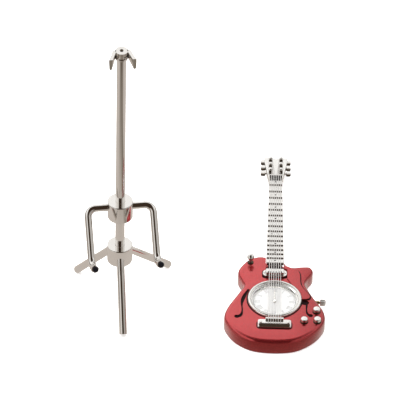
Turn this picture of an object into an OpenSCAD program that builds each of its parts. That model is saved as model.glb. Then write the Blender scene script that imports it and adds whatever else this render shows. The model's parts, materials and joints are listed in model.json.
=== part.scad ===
// Miniature electric guitar desk clock, lying on its back beside its upright tripod display stand.
// Millimetres, +Z up. The origin is on the table, in the middle of the two pieces' common box.
// The guitar's own frame: x across, y from the tail to the head, z from its back to its face.
// The stand's own frame: z along the pole, -y is the side that the yoke and the arms face.

/* [Layout] */
// Guitar's tail end, x
guitar_x = 37.7; // [30:0.1:60]
// Guitar's tail end, y
guitar_y = -69.0; // [-80:0.1:-60]
// Pole axis, x
stand_x = -38.0; // [-60:0.1:-30]
// Pole axis, y
stand_y = -30.4; // [-50:0.1:0]
// Turn of the stand about its pole, degrees
stand_yaw = 6.5; // [-45:0.5:45]

/* [Stand] */
// Pole diameter
pole_d = 4.6; // [3:0.1:8]
// Height of the top of the pole
pole_top = 153.0; // [100:0.5:200]
// Collar diameter, both collars
collar_d = 12.3; // [8:0.1:20]
// Collar height, both collars
collar_h = 9.7; // [5:0.1:15]
// Underside of the leg collar
leg_collar_z = 24.2; // [15:0.1:40]
// Underside of the arm collar
arm_collar_z = 52.0; // [40:0.1:100]
// Leg diameter
leg_d = 3.8; // [2:0.1:6]
// Height at which the legs' axes meet the collar's wall
leg_root_z = 27.2; // [20:0.1:35]
// Reach of the front, right and left legs from the pole
leg_reach = [29.0, 32.6, 27.5];
// Direction of the front, right and left legs, degrees
leg_azimuth = [-91, 37.7, 134.6];
// Arm rod diameter
arm_d = 3.6; // [2:0.1:6]
// Sideways reach of each arm
arm_span = 15.8; // [10:0.1:25]
// Turn of the arms about the pole, degrees from the stand's forward side
arm_yaw = 2; // [-20:0.5:20]
// Height of the arms' level runs above the collar's middle
arm_lift = 1.2; // [0:0.1:3]
// Elbow bend radius
elbow_r = 4.0; // [2.5:0.1:6]
// Slope of the forward run of an arm, degrees below level
arm_slope = 45; // [20:1:70]
// Length of the straight forward run of an arm
arm_run = 19.3; // [5:0.1:30]
// Bend radius of the upturned end of an arm
hook_r = 6.0; // [4:0.1:10]
// Rise of the end of an arm, degrees above level
hook_rise = 35; // [0:1:80]
// Sideways lean of the upturned ends, degrees, both to the right
hook_lean = 7; // [0:0.5:20]
// Yoke hub diameter
hub_d = 6.1; // [5:0.1:10]
// Underside of the yoke hub
hub_z = 149.6; // [120:0.1:180]
// Yoke hub height
hub_h = 4.8; // [3:0.1:10]
// Half the spread of the prongs at their tips
prong_spread = 5.6; // [4:0.1:10]
// Forward reach of the prongs
prong_reach = 6.9; // [4:0.1:15]
prong_drop = 1.1; // [0:0.1:2]
// Prong thickness
prong_t = 1.85; // [1:0.05:3]

/* [Guitar] */
// Length from the tail to the top of the head
guitar_len = 138.0; // [100:0.5:180]
// Height of the body's sides
side_h = 6.9; // [4:0.1:12]
// Height of the body's face
face_z = 7.9; // [5:0.1:14]
// Top of the fingerboard
board_z = 9.8; // [9:0.1:12]
// Fingerboard end over the body, y
board_y0 = 55.0; // [50:0.1:60]
// Nut, y
nut_y = 118.6; // [110:0.1:125]
// Fingerboard width at the body and at the nut
board_w = [8.7, 6.5];
// Number of frets
fret_count = 15; // [12:1:22]
// First fret spacing
fret_pitch = 5.2; // [4:0.05:7]
// Each fret spacing as a share of the one before
fret_ratio = 0.962; // [0.94:0.001:1]
// String diameter
string_d = 0.4; // [0.2:0.05:0.6]
// Spread of the outer strings at the nut and at the bridge
string_span = [4.5, 6.0];
// Distance from the tail to the bridge
bridge_y = 13.7; // [10:0.1:20]
// Control knob diameter
knob_d = 3.3; // [2:0.1:5]
// Centres of the control knobs
knob_at = [[20.4, 22.5], [14.4, 15.1], [20.8, 15.4]];
// Centre of the toggle switch
toggle_at = [-12.0, 57.0];
// Tuner rows along the head, y
tuner_y = [127.2, 131.4, 135.6];

/* [Clock] */
// Distance from the tail to the clock's centre
clock_y = 30.3; // [20:0.1:40]
// Bezel outer diameter
bezel_d = 26.4; // [20:0.1:32]
// Bezel opening diameter
bezel_in = 22.8; // [16:0.1:28]
// Top of the bezel
bezel_z = 9.2; // [8.5:0.1:12]
// Top of the dial
dial_z = 6.2; // [5:0.1:8]
// Crown axis, y
crown_y = 33.2; // [25:0.1:36]
// Crown axis, z
crown_z = 4.0; // [2:0.1:6]
// Crown diameter
crown_d = 2.7; // [2:0.1:4]

/* [Hidden] */
$fn = 48;
fit = 0.02;      // a fixed piece in its seat
run = 0.06;      // a turning or sliding piece in its bore
chrome = [0.80, 0.79, 0.77];
red = [0.70, 0.15, 0.18];
dark = [0.10, 0.10, 0.10];
white = [0.93, 0.93, 0.92];

arm_z = arm_collar_z + collar_h / 2 + arm_lift;
hub_top = hub_z + hub_h;
case_r = bezel_in / 2 + 0.1;

// The body's edge, counter-clockwise from the tail, as the knots of one closed curve.
body_knots = [
    [-0.5, 0], [10.2, 1.5], [18.6, 7.3], [23.5, 14.5], [24.6, 20.0], [23.2, 25.4], [19.2, 33.0],
    [16.6, 38.4], [15.0, 43.0], [16.0, 46.8], [18.1, 50.4], [18.7, 53.2], [16.8, 55.6], [12.2, 55.4],
    [8.6, 54.9], [6.2, 55.8], [4.9, 57.8], [3.8, 60.2], [-1.5, 61.2], [-7.8, 62.3], [-13.3, 59.5],
    [-17.2, 53.9], [-18.0, 49.4], [-16.3, 44.8], [-15.2, 40.6], [-18.0, 34.8], [-22.8, 25.2],
    [-24.4, 18.6], [-23.3, 13.6], [-18.9, 6.7], [-11.0, 1.4]];
// The back cover's edge, inside the body's, in the same order.
cover_knots = [[0, 3.6], [10, 4.6], [18.4, 10.5], [20.6, 19.0], [17.4, 27.5], [12.8, 36.0], [10.6, 44.0],
               [8.6, 50.0], [1.0, 55.4], [-8.0, 58.0], [-13.4, 52.0], [-12.6, 44.0], [-12.6, 38.0],
               [-18.0, 28.0], [-20.6, 19.0], [-18.0, 10.5], [-10, 4.8]];
curve_steps = 3;

// A point on the closed curve through knots p, a share t of the way from knot i to the next.
function knot(p, i) = p[(i + len(p)) % len(p)];
function curve(p, i, t) =
    0.5 * (2 * knot(p, i) + (knot(p, i + 1) - knot(p, i - 1)) * t
    + (2 * knot(p, i - 1) - 5 * knot(p, i) + 4 * knot(p, i + 1) - knot(p, i + 2)) * t * t
    + (3 * knot(p, i) - knot(p, i - 1) - 3 * knot(p, i + 1) + knot(p, i + 2)) * t * t * t);
function closed_curve(p) = [
    for (i = [0 : len(p) - 1], s = [0 : curve_steps - 1]) curve(p, i, s / curve_steps)
];
function unit(v) = v / norm(v);
// The outline p moved inwards by d.
function inset(p, d) = [
    for (i = [0 : len(p) - 1])
        let (along = unit(knot(p, i + 1) - knot(p, i - 1))) p[i] + d * [-along[1], along[0]]
];
// A band of width w[i] at each point p[i] of an open line.
function side_of(p, i) =
    let (along = unit(p[min(i + 1, len(p) - 1)] - p[max(i - 1, 0)])) [-along[1], along[0]];
function band(p, w) = concat(
    [for (i = [0 : len(p) - 1]) p[i] + side_of(p, i) * w[i] / 2],
    [for (i = [len(p) - 1 : -1 : 0]) p[i] - side_of(p, i) * w[i] / 2]
);

outline = closed_curve(body_knots);
// Layers of the body from back to face: bottom, top, and how far the edge is drawn in.
layers = [[0, 0.4, 0.3], [0.4, side_h, 0], [side_h, side_h + 0.35, 0.12], [side_h + 0.35, side_h + 0.7, 0.38],
          [side_h + 0.7, face_z, 0.8]];

// A slab with stepped-round rims: the outline p raised through the layers.
module rounded_slab(p, layers) {
    for (l = layers)
        translate([0, 0, l[0]])
            linear_extrude(l[1] - l[0])
                polygon(inset(p, l[2]));
}

// A round rod from a to b.
module rod(a, b, r) {
    v = b - a;
    translate(a)
        rotate([0, acos(v[2] / norm(v)), atan2(v[1], v[0])])
            cylinder(h = norm(v), r = r);
}

// A bent rod: starts at p in direction v, turns towards w about a centre bend_r away.
module bend(p, v, w, bend_r, angle, r) {
    axis = cross(-w, v);
    c = p + bend_r * w;
    multmatrix([
        [-w[0], v[0], axis[0], c[0]],
        [-w[1], v[1], axis[1], c[1]],
        [-w[2], v[2], axis[2], c[2]],
        [0, 0, 0, 1]
    ])
        rotate_extrude(angle = angle)
            translate([bend_r, 0])
                circle(r);
}

module on_guitar() translate([guitar_x, guitar_y, 0]) children();
module on_stand() translate([stand_x, stand_y, 0]) rotate([0, 0, stand_yaw]) children();
module on_arms() on_stand() rotate([0, 0, arm_yaw]) children();

// ---- Stand ----

function leg_dir(i) = [cos(leg_azimuth[i]), sin(leg_azimuth[i]), 0];
function leg_tilt(i) = atan2(leg_root_z - leg_d / 2 * 0.72, leg_reach[i] - collar_d / 2);
function leg_foot(i) = leg_reach[i] * leg_dir(i) + [0, 0, leg_d / 2 * cos(leg_tilt(i))];
function leg_root(i) = leg_foot(i)
    + (leg_reach[i] - collar_d / 2 + 1.8) * [-leg_dir(i)[0], -leg_dir(i)[1], tan(leg_tilt(i))];

// A collar with chamfered rims, bored for the pole with the given clearance.
module collar(z, gap) {
    c = 0.5;
    h = collar_h;
    r = collar_d / 2;
    translate([0, 0, z])
        rotate_extrude($fn = 96)
            polygon([[pole_d / 2 + gap, 0], [r - c, 0], [r, c], [r, h - c], [r - c, h],
                     [pole_d / 2 + gap, h]]);
}

module base_collar() color(chrome)
    on_stand()
        difference() {
            collar(leg_collar_z, fit);
            for (i = [0 : 2]) rod(leg_root(i), leg_foot(i), leg_d / 2 + fit);
            rod([0, 0, leg_collar_z + 6.4], [0, collar_d, leg_collar_z + 6.4], 0.82);
        }

module leg(i) color(chrome) on_stand() rod(leg_root(i), leg_foot(i), leg_d / 2);
module front_leg() leg(0);
module right_leg() leg(1);
module left_leg() leg(2);

// A slotted headless screw at height z, along +y from a gap off the pole's wall to the collar's.
module grub_screw(z, gap) {
    outer = collar_d / 2 - 0.35;
    difference() {
        rod([0, pole_d / 2 + gap, z], [0, outer, z], 0.8);
        translate([-0.15, outer - 0.6, z - 1]) cube([0.3, 1, 2]);
    }
}
arm_screw_z = arm_collar_z + collar_h - 2.8;
module base_set_screw() color(dark) on_stand() grub_screw(leg_collar_z + 6.4, fit);
module arm_set_screw() color(dark) on_arms() grub_screw(arm_screw_z, run + fit);

module pole() color(chrome)
    on_stand()
        difference() {
            translate([0, 0, leg_collar_z]) cylinder(h = pole_top - leg_collar_z, d = pole_d, $fn = 96);
            translate([0, 0, pole_top - 4]) cylinder(h = 5, r = 0.5 + fit);
        }

module yoke_screw() color(chrome)
    on_stand() {
        translate([0, 0, pole_top - 3.5]) cylinder(h = hub_top + 0.05 - pole_top + 3.5, r = 0.5);
        difference() {
            translate([0, 0, hub_top + 0.05]) cylinder(h = 0.4, r = 0.95);
            translate([-1, -0.15, hub_top + 0.3]) cube([2, 0.3, 1]);
        }
    }

module arm_collar() color(chrome)
    on_arms()
        difference() {
            collar(arm_collar_z, run);
            for (s = [-1, 1]) rod([s * 3.6, 0, arm_z], [s * 12, 0, arm_z], arm_d / 2 + fit);
            rod([0, 0, arm_screw_z], [0, collar_d, arm_screw_z], 0.82);
        }

down = [0, -cos(arm_slope), -sin(arm_slope)];
rise = [0, -sin(arm_slope), cos(arm_slope)];
elbow_at = [arm_span - elbow_r, 0, arm_z];
run_from = elbow_at + [elbow_r, 0, 0] + elbow_r * down;
run_to = run_from + arm_run * down;
turn = arm_slope + hook_rise;
tip_run = 2.6;                   // straight end beyond the hook's bend
// For a hook that leans by an angle: the way its bend rises, its end's heading, and the ends of its parts.
function lean_rise(a) = rise * cos(a) + [sin(a), 0, 0];
function tip_dir(a) = down * cos(turn) + lean_rise(a) * sin(turn);
function hook_to(a) = run_to + hook_r * (lean_rise(a) * (1 - cos(turn)) + down * sin(turn));
function tip(a) = hook_to(a) + tip_run * tip_dir(a);
lap = 0.02;                      // the straight runs enter the bends by this
straight_r = arm_d / 2 - 0.01;

// The right arm: out of the collar, round the elbow, forward and down, and up again at the end.
module arm_rod(a) {
    difference() {
        union() {
            rod([3.7, 0, arm_z], elbow_at + [lap, 0, 0], straight_r);
            bend(elbow_at, [1, 0, 0], down, elbow_r, 90, arm_d / 2);
            rod(run_from - lap * down, run_to + lap * down, straight_r);
            bend(run_to, down, lean_rise(a), hook_r, turn, arm_d / 2);
            rod(hook_to(a) - lap * tip_dir(a), tip(a), straight_r);
        }
        rod(tip(a) - 2 * tip_dir(a), tip(a) + tip_dir(a), 1.0 + fit);
    }
}
module arm_plug(a) {
    rod(tip(a) - 1.8 * tip_dir(a), tip(a) + 0.1 * tip_dir(a), 1.0);
    rod(tip(a) + 0.02 * tip_dir(a), tip(a) + 0.9 * tip_dir(a), 1.35);
}
module right_arm() color(chrome) on_arms() arm_rod(hook_lean);
module left_arm() color(chrome) on_arms() mirror([1, 0, 0]) arm_rod(-hook_lean);
module right_plug() color(dark) on_arms() arm_plug(hook_lean);
module left_plug() color(dark) on_arms() mirror([1, 0, 0]) arm_plug(-hook_lean);

// A prong's section, h high: flat on top and drawn in to a blunt edge below.
module prong_section(h) rotate([90, 0, 0]) linear_extrude(0.05)
    polygon(prong_t * [[-0.5, 0], [-0.46, -0.5 * h / prong_t], [-0.18, -h / prong_t], [0.18, -h / prong_t],
                       [0.46, -0.5 * h / prong_t], [0.5, 0]]);
// One splayed prong of the yoke.
module prong() hull() {
    translate([hub_d / 2 + 0.2, 0.6, hub_top]) prong_section(hub_h - 0.2);
    translate([prong_spread, -prong_reach + 0.05, hub_top]) prong_section(hub_h + prong_drop);
}
yoke_screw_z = hub_z + 2.0;
screw_turn = -52;                // the yoke's set screw, degrees from the right-hand side
screw_dir = [cos(screw_turn), sin(screw_turn), 0];
module yoke() color(chrome)
    on_stand()
        difference() {
            union() {
                translate([0, 0, hub_z]) cylinder(h = hub_h, d = hub_d, $fn = 96);
                prong();
                mirror([1, 0, 0]) prong();
            }
            translate([0, 0, hub_z - 2]) cylinder(h = pole_top + 0.3 - hub_z + 2, d = pole_d + 2 * run, $fn = 96);
            translate([0, 0, hub_z]) cylinder(h = hub_h + 1, r = 0.58);
            rod([0, 0, yoke_screw_z], hub_d * screw_dir + [0, 0, yoke_screw_z], 0.82);
        }
module yoke_set_screw() color(dark)
    on_stand()
        difference() {
            rod((pole_d / 2 + run + fit) * screw_dir + [0, 0, yoke_screw_z],
                (hub_d / 2 + 0.5) * screw_dir + [0, 0, yoke_screw_z], 0.8);
            rod((hub_d / 2 - 0.1) * screw_dir + [0, 0, yoke_screw_z],
                hub_d * screw_dir + [0, 0, yoke_screw_z], 0.4, $fn = 6);
        }

// ---- Guitar body ----

// Centre lines and widths of the two sound slots.
left_slot = [[-12.6, 37.4], [-13.9, 34.6], [-15.0, 31.6], [-15.7, 28.8], [-15.9, 26.2], [-15.7, 23.6],
             [-15.7, 21.0], [-16.3, 18.7], [-17.6, 17.6], [-18.5, 17.5]];
left_slot_w = [1.0, 1.5, 1.9, 1.6, 0.9, 0.7, 0.9, 1.8, 2.4, 2.2];
right_slot = [[14.3, 28.5], [15.3, 28.2], [15.6, 26.0], [15.5, 23.4], [15.9, 21.0], [16.8, 19.6], [17.6, 19.4]];
right_slot_w = [2.2, 2.6, 1.1, 0.7, 1.1, 2.0, 2.0];
slot_depth = 0.6;
// Round ends of the slots: x, y, half width and half height.
slot_ends = [[-18.2, 17.6, 1.3, 1.15], [15.0, 28.6, 1.75, 1.35], [17.5, 19.4, 1.15, 1.1]];

module slots(grow) {
    for (e = slot_ends)
        polygon([for (a = [0 : 15 : 345]) [e[0] + (e[2] + grow / 2) * cos(a), e[1] + (e[3] + grow / 2) * sin(a)]]);
    polygon(band(left_slot, left_slot_w + [for (w = left_slot_w) grow]));
    polygon(band(right_slot, right_slot_w + [for (w = right_slot_w) grow]));
}

module body() color(red)
    on_guitar()
        difference() {
            rounded_slab(outline, layers);
            translate([0, clock_y, 1.3]) cylinder(h = 10, r = case_r + fit, $fn = 96);
            rod([0, crown_y, crown_z], [30, crown_y, crown_z], 0.96);
            translate([0, 0, face_z - slot_depth]) linear_extrude(2) slots(0);
            translate([0, 0, -1]) linear_extrude(1.6) polygon(closed_curve(cover_knots));
            translate([-3.4, board_y0 - 4.0, 3.0]) cube([6.8, 20, 10]);
            for (p = concat(knob_at, [toggle_at])) translate([p[0], p[1], face_z - 1.4]) cylinder(h = 3, r = 0.6 + fit);
        }

module slot_liners() color(dark)
    on_guitar() translate([0, 0, face_z - slot_depth]) linear_extrude(0.15) slots(-0.1);

module back_cover() color(chrome)
    on_guitar()
        difference() {
            linear_extrude(0.58) polygon(inset(closed_curve(cover_knots), 0.04));
            for (p = cover_screw_at) translate([p[0], p[1], -1]) cylinder(h = 3, r = 0.62);
            for (p = cover_screw_at) translate([p[0], p[1], -0.01]) cylinder(h = 0.3, r = 1.02);
        }
cover_screw_at = [[0, 5.6], [18.2, 19], [-18.2, 19], [-10.8, 52]];
module back_screws() color(chrome)
    on_guitar()
        for (p = cover_screw_at)
            translate([p[0], p[1], 0])
                difference() {
                    union() {
                        translate([0, 0, 0.02]) cylinder(h = 0.26, r = 1.0);
                        translate([0, 0, 0.2]) cylinder(h = 0.39, r = 0.6);
                    }
                    translate([-1.5, -0.12, -0.5]) cube([3, 0.24, 0.62]);
                }

// The pick guard's free edge, then round the bezel and up beside the pickup.
module pick_guard() color(red)
    on_guitar()
        translate([0, 0, face_z + 0.01])
            linear_extrude(0.34)
                difference() {
                    polygon([[4.6, 55.4], [6.7, 54.0], [8.5, 53.0], [11.0, 51.7], [12.2, 49.4], [12.5, 46.1], [12.6, 42.7],
                             [13.3, 40.0], [14.9, 37.2], [16.6, 34.5], [17.2, 32.6], [16.5, 31.1],
                             [14.9, 30.4], [12.0, 30.3], [5.0, 40], [5.9, 46.2], [5.9, 52.0], [4.6, 53.0]]);
                    translate([0, clock_y]) circle(d = bezel_d + 0.1, $fn = 96);
                    translate([-6, 46.2]) square([11.9, 5.6]);
                }

// ---- Neck and head ----

module neck() color(chrome)
    on_guitar()
        difference() {
            hull() {
                translate([0, board_y0 - 3.9, 8.0]) rotate([-90, 0, 0]) neck_section(board_w[0] / 2 - 1.0);
                translate([0, nut_y + 1, 8.0]) rotate([-90, 0, 0]) neck_section(board_w[1] / 2 - 0.2);
            }
            translate([-10, 0, 8.0]) cube([20, 200, 10]);
        }
module neck_section(half) intersection() {
    scale([1, 1.45, 1]) cylinder(h = 0.1, r = half, $fn = 32);
    translate([-half, 0, 0]) cube([2 * half, 5, 1]);
}

// The right side of the head, from the nut to its shoulder: y and distance from the middle.
head_side = [[nut_y + 1.12, 3.3], [122.6, 3.6], [125, 4.1], [129, 4.8], [134, 5.6], [137.2, 5.7]];
function head_half(y) = lookup(y, head_side);
head_edge = concat([for (p = head_side) [p[1], p[0]]], [[4.8, 137.9], [2.6, guitar_len - 0.2]]);

module head() color(chrome)
    on_guitar()
        translate([0, 0, 4.2])
            difference() {
                linear_extrude(2.8)
                    polygon(concat(head_edge, [[0, 137.4]],
                                   [for (i = [len(head_edge) - 1 : -1 : 0]) [-head_edge[i][0], head_edge[i][1]]]));
                for (s = [-1, 1], y = tuner_y) translate([s * 2.6, y, -1]) cylinder(h = 6, r = 0.62);
            }

module fingerboard() color(chrome)
    on_guitar()
        translate([0, 0, 8.02])
            linear_extrude(board_z - 8.02)
                polygon([[-board_w[0] / 2, board_y0], [board_w[0] / 2, board_y0],
                         [board_w[1] / 2, nut_y - 0.02], [-board_w[1] / 2, nut_y - 0.02]]);

function fret_y(n) = nut_y - fret_pitch * (1 - pow(fret_ratio, n)) / (1 - fret_ratio);
function board_half(y) = board_w[1] / 2
    + (board_w[0] - board_w[1]) / 2 * (nut_y - y) / (nut_y - board_y0);

module frets() color(chrome)
    on_guitar()
        for (n = [1 : fret_count])
            let (y = fret_y(n), half = board_half(y))
                intersection() {
                    rod([-half, y, board_z + 0.02], [half, y, board_z + 0.02], 0.28);
                    translate([-half, y - 1, board_z + 0.02]) cube([2 * half, 2, 1]);
                }

module position_dots() color(dark)
    on_guitar()
        for (n = [1, 3, 5, 7, 10, 12, 14, 16])
            let (y = (fret_y(n) + fret_y(n - 1)) / 2, apart = n == 10 ? 1.6 : 0)
                for (s = n == 10 ? [-1, 1] : [0])
                    translate([s * apart, y, board_z + 0.01]) cylinder(h = 0.06, r = 0.38, $fn = 24);

module nut() color(chrome)
    on_guitar()
        difference() {
            translate([-board_w[1] / 2, nut_y, 7.02]) cube([board_w[1], 1.1, 3.5]);
            translate([-5, nut_y - 1, 7.01]) cube([10, 2.2 - 0.05, 1.0]);
        }

module tuner_posts() color(chrome)
    on_guitar()
        for (s = [-1, 1], y = tuner_y)
            translate([s * 2.6, y, 4.3]) {
                cylinder(h = 4.5, r = 0.6, $fn = 32);
                translate([0, 0, 2.72]) cylinder(h = 0.4, r = 1.0, $fn = 32);
                translate([0, 0, 4.1]) cylinder(h = 0.6, r = 0.85, $fn = 32);
            }

stem_r = 0.4;
module tuner_buttons() color(chrome)
    on_guitar()
        for (s = [-1, 1], y = tuner_y)
            translate([0, y, 5.4]) {
                edge = head_half(y + stem_r) + fit;
                rod([s * edge, 0, 0], [s * 6.4, 0, 0], stem_r);
                translate([s * 7.0, 0, 0])
                    scale([1, 1, 0.62]) rotate([0, 90, 0]) cylinder(h = 1.7, r = 1.25, center = true, $fn = 32);
            }

function string_x(i, y) =
    let (share = (nut_y - y) / (nut_y - bridge_y), span = string_span[0] + (string_span[1] - string_span[0]) * share)
        span * (i / 5 - 0.5);
function string_z(y) = 10.72 + 0.5 * (nut_y - y) / (nut_y - bridge_y);

module strings() color(chrome)
    on_guitar()
        for (i = [0 : 5])
            let (s = i < 3 ? -1 : 1, y = tuner_y[i < 3 ? i : 5 - i])
                union() {
                    rod([string_x(i, bridge_y), bridge_y, string_z(bridge_y)],
                        [string_x(i, nut_y), nut_y, string_z(nut_y)], string_d / 2, $fn = 16);
                    rod([string_x(i, bridge_y), bridge_y, string_z(bridge_y)],
                        [string_x(i, bridge_y), 11.2, 9.95], string_d / 2, $fn = 16);
                    rod([string_x(i, nut_y), nut_y, string_z(nut_y)],
                        [s * 1.8, y - 0.5, 7.9], string_d / 2, $fn = 16);
                }

// ---- Hardware on the face ----

module pickup_frame() color(chrome)
    on_guitar()
        translate([0, 0, face_z + 0.01])
            linear_extrude(0.9)
                difference() {
                    polygon([[-5.0, 46.3], [5.0, 46.3], [5.6, 46.9], [5.6, 50.4], [5.0, 51.0],
                             [-5.0, 51.0], [-5.6, 50.4], [-5.6, 46.9]]);
                    translate([-4.45, 47.05]) square([8.9, 3.3]);
                }
module pickup_cover() color(chrome)
    on_guitar() translate([-4.4, 47.1, face_z + 0.01]) cube([8.8, 3.2, 2.4]);
module pole_pieces() color(dark)
    on_guitar()
        for (i = [0 : 5])
            translate([string_x(i, 47.9), 47.9, face_z + 2.42]) cylinder(h = 0.12, r = 0.4, $fn = 24);
module pickup_screws() color(chrome)
    on_guitar()
        for (s = [-1, 1])
            translate([s * 5.02, 48.7, face_z + 0.92]) cylinder(h = 0.25, r = 0.42, $fn = 24);

module tailpiece() color(chrome)
    on_guitar()
        translate([0, 0, face_z + 0.01])
            linear_extrude(1.9)
                polygon([[-8.2, 10.4], [-7.6, 9.7], [7.6, 9.7], [8.2, 10.4], [8.2, 12.6], [7.2, 14.2],
                         [-7.2, 14.2], [-8.2, 12.6]]);
module tailpiece_studs() color(chrome)
    on_guitar()
        for (s = [-1, 1])
            translate([s * 6.7, 12.0, face_z + 1.93]) cylinder(h = 0.35, r = 0.75, $fn = 32);
module bridge() color(chrome)
    on_guitar()
        translate([-4.4, bridge_y - 0.65, face_z + 1.93]) cube([8.8, 1.3, 1.18]);

module knobs() color(chrome)
    on_guitar()
        for (p = knob_at)
            translate([p[0], p[1], 0]) {
                translate([0, 0, face_z + 0.01]) cylinder(h = 2.0, d = knob_d);
                translate([0, 0, face_z - 1.2]) cylinder(h = 1.4, r = 0.6);
            }
module toggle_washer() color(chrome)
    on_guitar()
        translate([toggle_at[0], toggle_at[1], face_z + 0.01])
            difference() {
                cylinder(h = 0.35, r = 1.5);
                translate([0, 0, -1]) cylinder(h = 3, r = 0.63);
            }
module toggle_switch() color(chrome)
    on_guitar()
        translate([toggle_at[0], toggle_at[1], 0]) {
            translate([0, 0, face_z - 1.2]) cylinder(h = 3.6, r = 0.6);
            translate([0, 0, 11.4]) sphere(r = 1.6);
        }

// ---- Clock ----

module on_clock() on_guitar() translate([0, clock_y, 0]) children();

module clock_case() color(chrome)
    on_clock()
        difference() {
            translate([0, 0, 1.32]) cylinder(h = face_z + 0.02 - 1.32, r = case_r, $fn = 96);
            translate([0, 0, 1.8]) cylinder(h = 10, r = case_r - 0.5, $fn = 96);
            rod([0, crown_y - clock_y, crown_z], [20, crown_y - clock_y, crown_z], 0.62);
        }
module bezel() color(chrome)
    on_clock()
        translate([0, 0, face_z + 0.04])
            rotate_extrude($fn = 120)
                polygon([[bezel_in / 2, 0], [bezel_d / 2 - 0.15, 0], [bezel_d / 2, 0.2], [bezel_d / 2, 0.7],
                         [bezel_d / 2 - 0.5, bezel_z - face_z - 0.1], [bezel_d / 2 - 0.9, bezel_z - face_z - 0.04],
                         [bezel_in / 2 + 0.4, bezel_z - face_z - 0.04], [bezel_in / 2, 0.95]]);
module lens() color([0.85, 0.90, 0.92, 0.35])
    on_clock() translate([0, 0, face_z + 0.05]) cylinder(h = 0.7, r = bezel_in / 2 - 0.03, $fn = 96);
module dial() color(white)
    on_clock()
        difference() {
            translate([0, 0, dial_z - 0.2]) cylinder(h = 0.2, r = case_r - 0.52, $fn = 96);
            translate([0, 0, dial_z - 1]) cylinder(h = 2, r = 0.75);
        }

numeral_h = 2.1;
numeral_r = 8.7;
stroke = 0.28;
// Strokes of each hour's numeral, from its twelve letters I, V and X.
numerals_text = ["XII", "I", "II", "III", "IIII", "V", "VI", "VII", "VIII", "IX", "X", "XI"];
function letter_w(c) = c == "I" ? 0.5 : 1.15;
function width_to(s, n) = n == 0 ? 0 : width_to(s, n - 1) + letter_w(s[n - 1]) + 0.12;
module stroke_bar(x0, y0, x1, y1) {
    v = [x1 - x0, y1 - y0];
    translate([(x0 + x1) / 2, (y0 + y1) / 2]) rotate(atan2(v[1], v[0])) square([norm(v), stroke], center = true);
}
module letter(c) {
    h = numeral_h / 2;
    if (c == "I") stroke_bar(0, -h, 0, h);
    if (c == "V") {
        stroke_bar(-0.4, h, 0, -h);
        stroke_bar(0.4, h, 0, -h);
    }
    if (c == "X") {
        stroke_bar(-0.42, h, 0.42, -h);
        stroke_bar(0.42, h, -0.42, -h);
    }
}
module numerals() color(dark)
    on_clock()
        for (k = [0 : 11])
            rotate([0, 0, -30 * k])
                translate([0, numeral_r, dial_z + 0.01])
                    linear_extrude(0.05)
                        let (s = numerals_text[k], w = width_to(s, len(s)) - 0.12)
                            for (n = [0 : len(s) - 1])
                                translate([width_to(s, n) + letter_w(s[n]) / 2 - w / 2, 0]) letter(s[n]);

module movement() color(dark)
    on_clock()
        difference() {
            translate([0, 0, 1.82]) cylinder(h = dial_z - 0.22 - 1.82, r = 10.0, $fn = 96);
            translate([0, 0, 1]) cylinder(h = 10, r = 0.8);
            translate([-5, -2.5, 1.0]) cylinder(h = 2.9, r = 3.45);
            rod([6, crown_y - clock_y, crown_z], [20, crown_y - clock_y, crown_z], 0.62);
        }
module battery() color(chrome)
    on_clock() translate([-5, -2.5, 1.84]) cylinder(h = 1.9, r = 3.4);

// A hand with a round boss and a tapered blade towards +y.
module hand(z, length, root_w, tip_w, tail, boss, bore) {
    translate([0, 0, z])
        difference() {
            linear_extrude(0.2) {
                circle(boss);
                polygon([[-root_w / 2, -tail], [root_w / 2, -tail], [root_w / 2, length * 0.7],
                         [tip_w / 2, length], [-tip_w / 2, length], [-root_w / 2, length * 0.7]]);
            }
            translate([0, 0, -1]) cylinder(h = 3, r = bore);
        }
}
module hour_hand() color(chrome) on_clock() hand(6.6, 5.0, 0.8, 0.3, 0.6, 1.05, 0.66);
module hour_pipe() color(chrome)
    on_clock()
        difference() {
            translate([0, 0, 3.4]) cylinder(h = 3.5, r = 0.64);
            translate([0, 0, 3]) cylinder(h = 5, r = 0.42);
        }
module minute_hand() color(chrome) on_clock() hand(7.15, 7.6, 0.6, 0.2, 0.6, 0.85, 0.37);
module minute_arbor() color(chrome) on_clock() translate([0, 0, 2.6]) cylinder(h = 4.95, r = 0.35);

// The crown's tube slides in the body's side; the crown and its stem turn in the tube.
module crown_tube() color(chrome)
    on_guitar()
        difference() {
            rod([15.0, crown_y, crown_z], [21.9, crown_y, crown_z], 0.9);
            rod([14.0, crown_y, crown_z], [23.0, crown_y, crown_z], 0.56);
        }
module crown() color(chrome)
    on_guitar()
        difference() {
            union() {
                rod([22.2, crown_y, crown_z], [24.6, crown_y, crown_z], crown_d / 2);
                rod([21.96, crown_y, crown_z], [22.4, crown_y, crown_z], 0.85);
                rod([24.4, crown_y, crown_z], [24.9, crown_y, crown_z], crown_d / 2 - 0.4);
            }
            rod([21, crown_y, crown_z], [23.6, crown_y, crown_z], 0.5 + fit);
        }
module crown_stem() color(chrome)
    on_guitar() rod([8.6, crown_y, crown_z], [23.5, crown_y, crown_z], 0.5);

base_collar();
front_leg();
right_leg();
left_leg();
base_set_screw();
pole();
yoke_screw();
arm_collar();
right_arm();
left_arm();
right_plug();
left_plug();
arm_set_screw();
yoke();
yoke_set_screw();
body();
slot_liners();
back_cover();
back_screws();
pick_guard();
neck();
head();
fingerboard();
frets();
position_dots();
nut();
tuner_posts();
tuner_buttons();
strings();
pickup_frame();
pickup_cover();
pole_pieces();
pickup_screws();
tailpiece();
tailpiece_studs();
bridge();
knobs();
toggle_washer();
toggle_switch();
clock_case();
bezel();
lens();
dial();
numerals();
movement();
battery();
hour_hand();
hour_pipe();
minute_hand();
minute_arbor();
crown_tube();
crown();
crown_stem();
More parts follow.
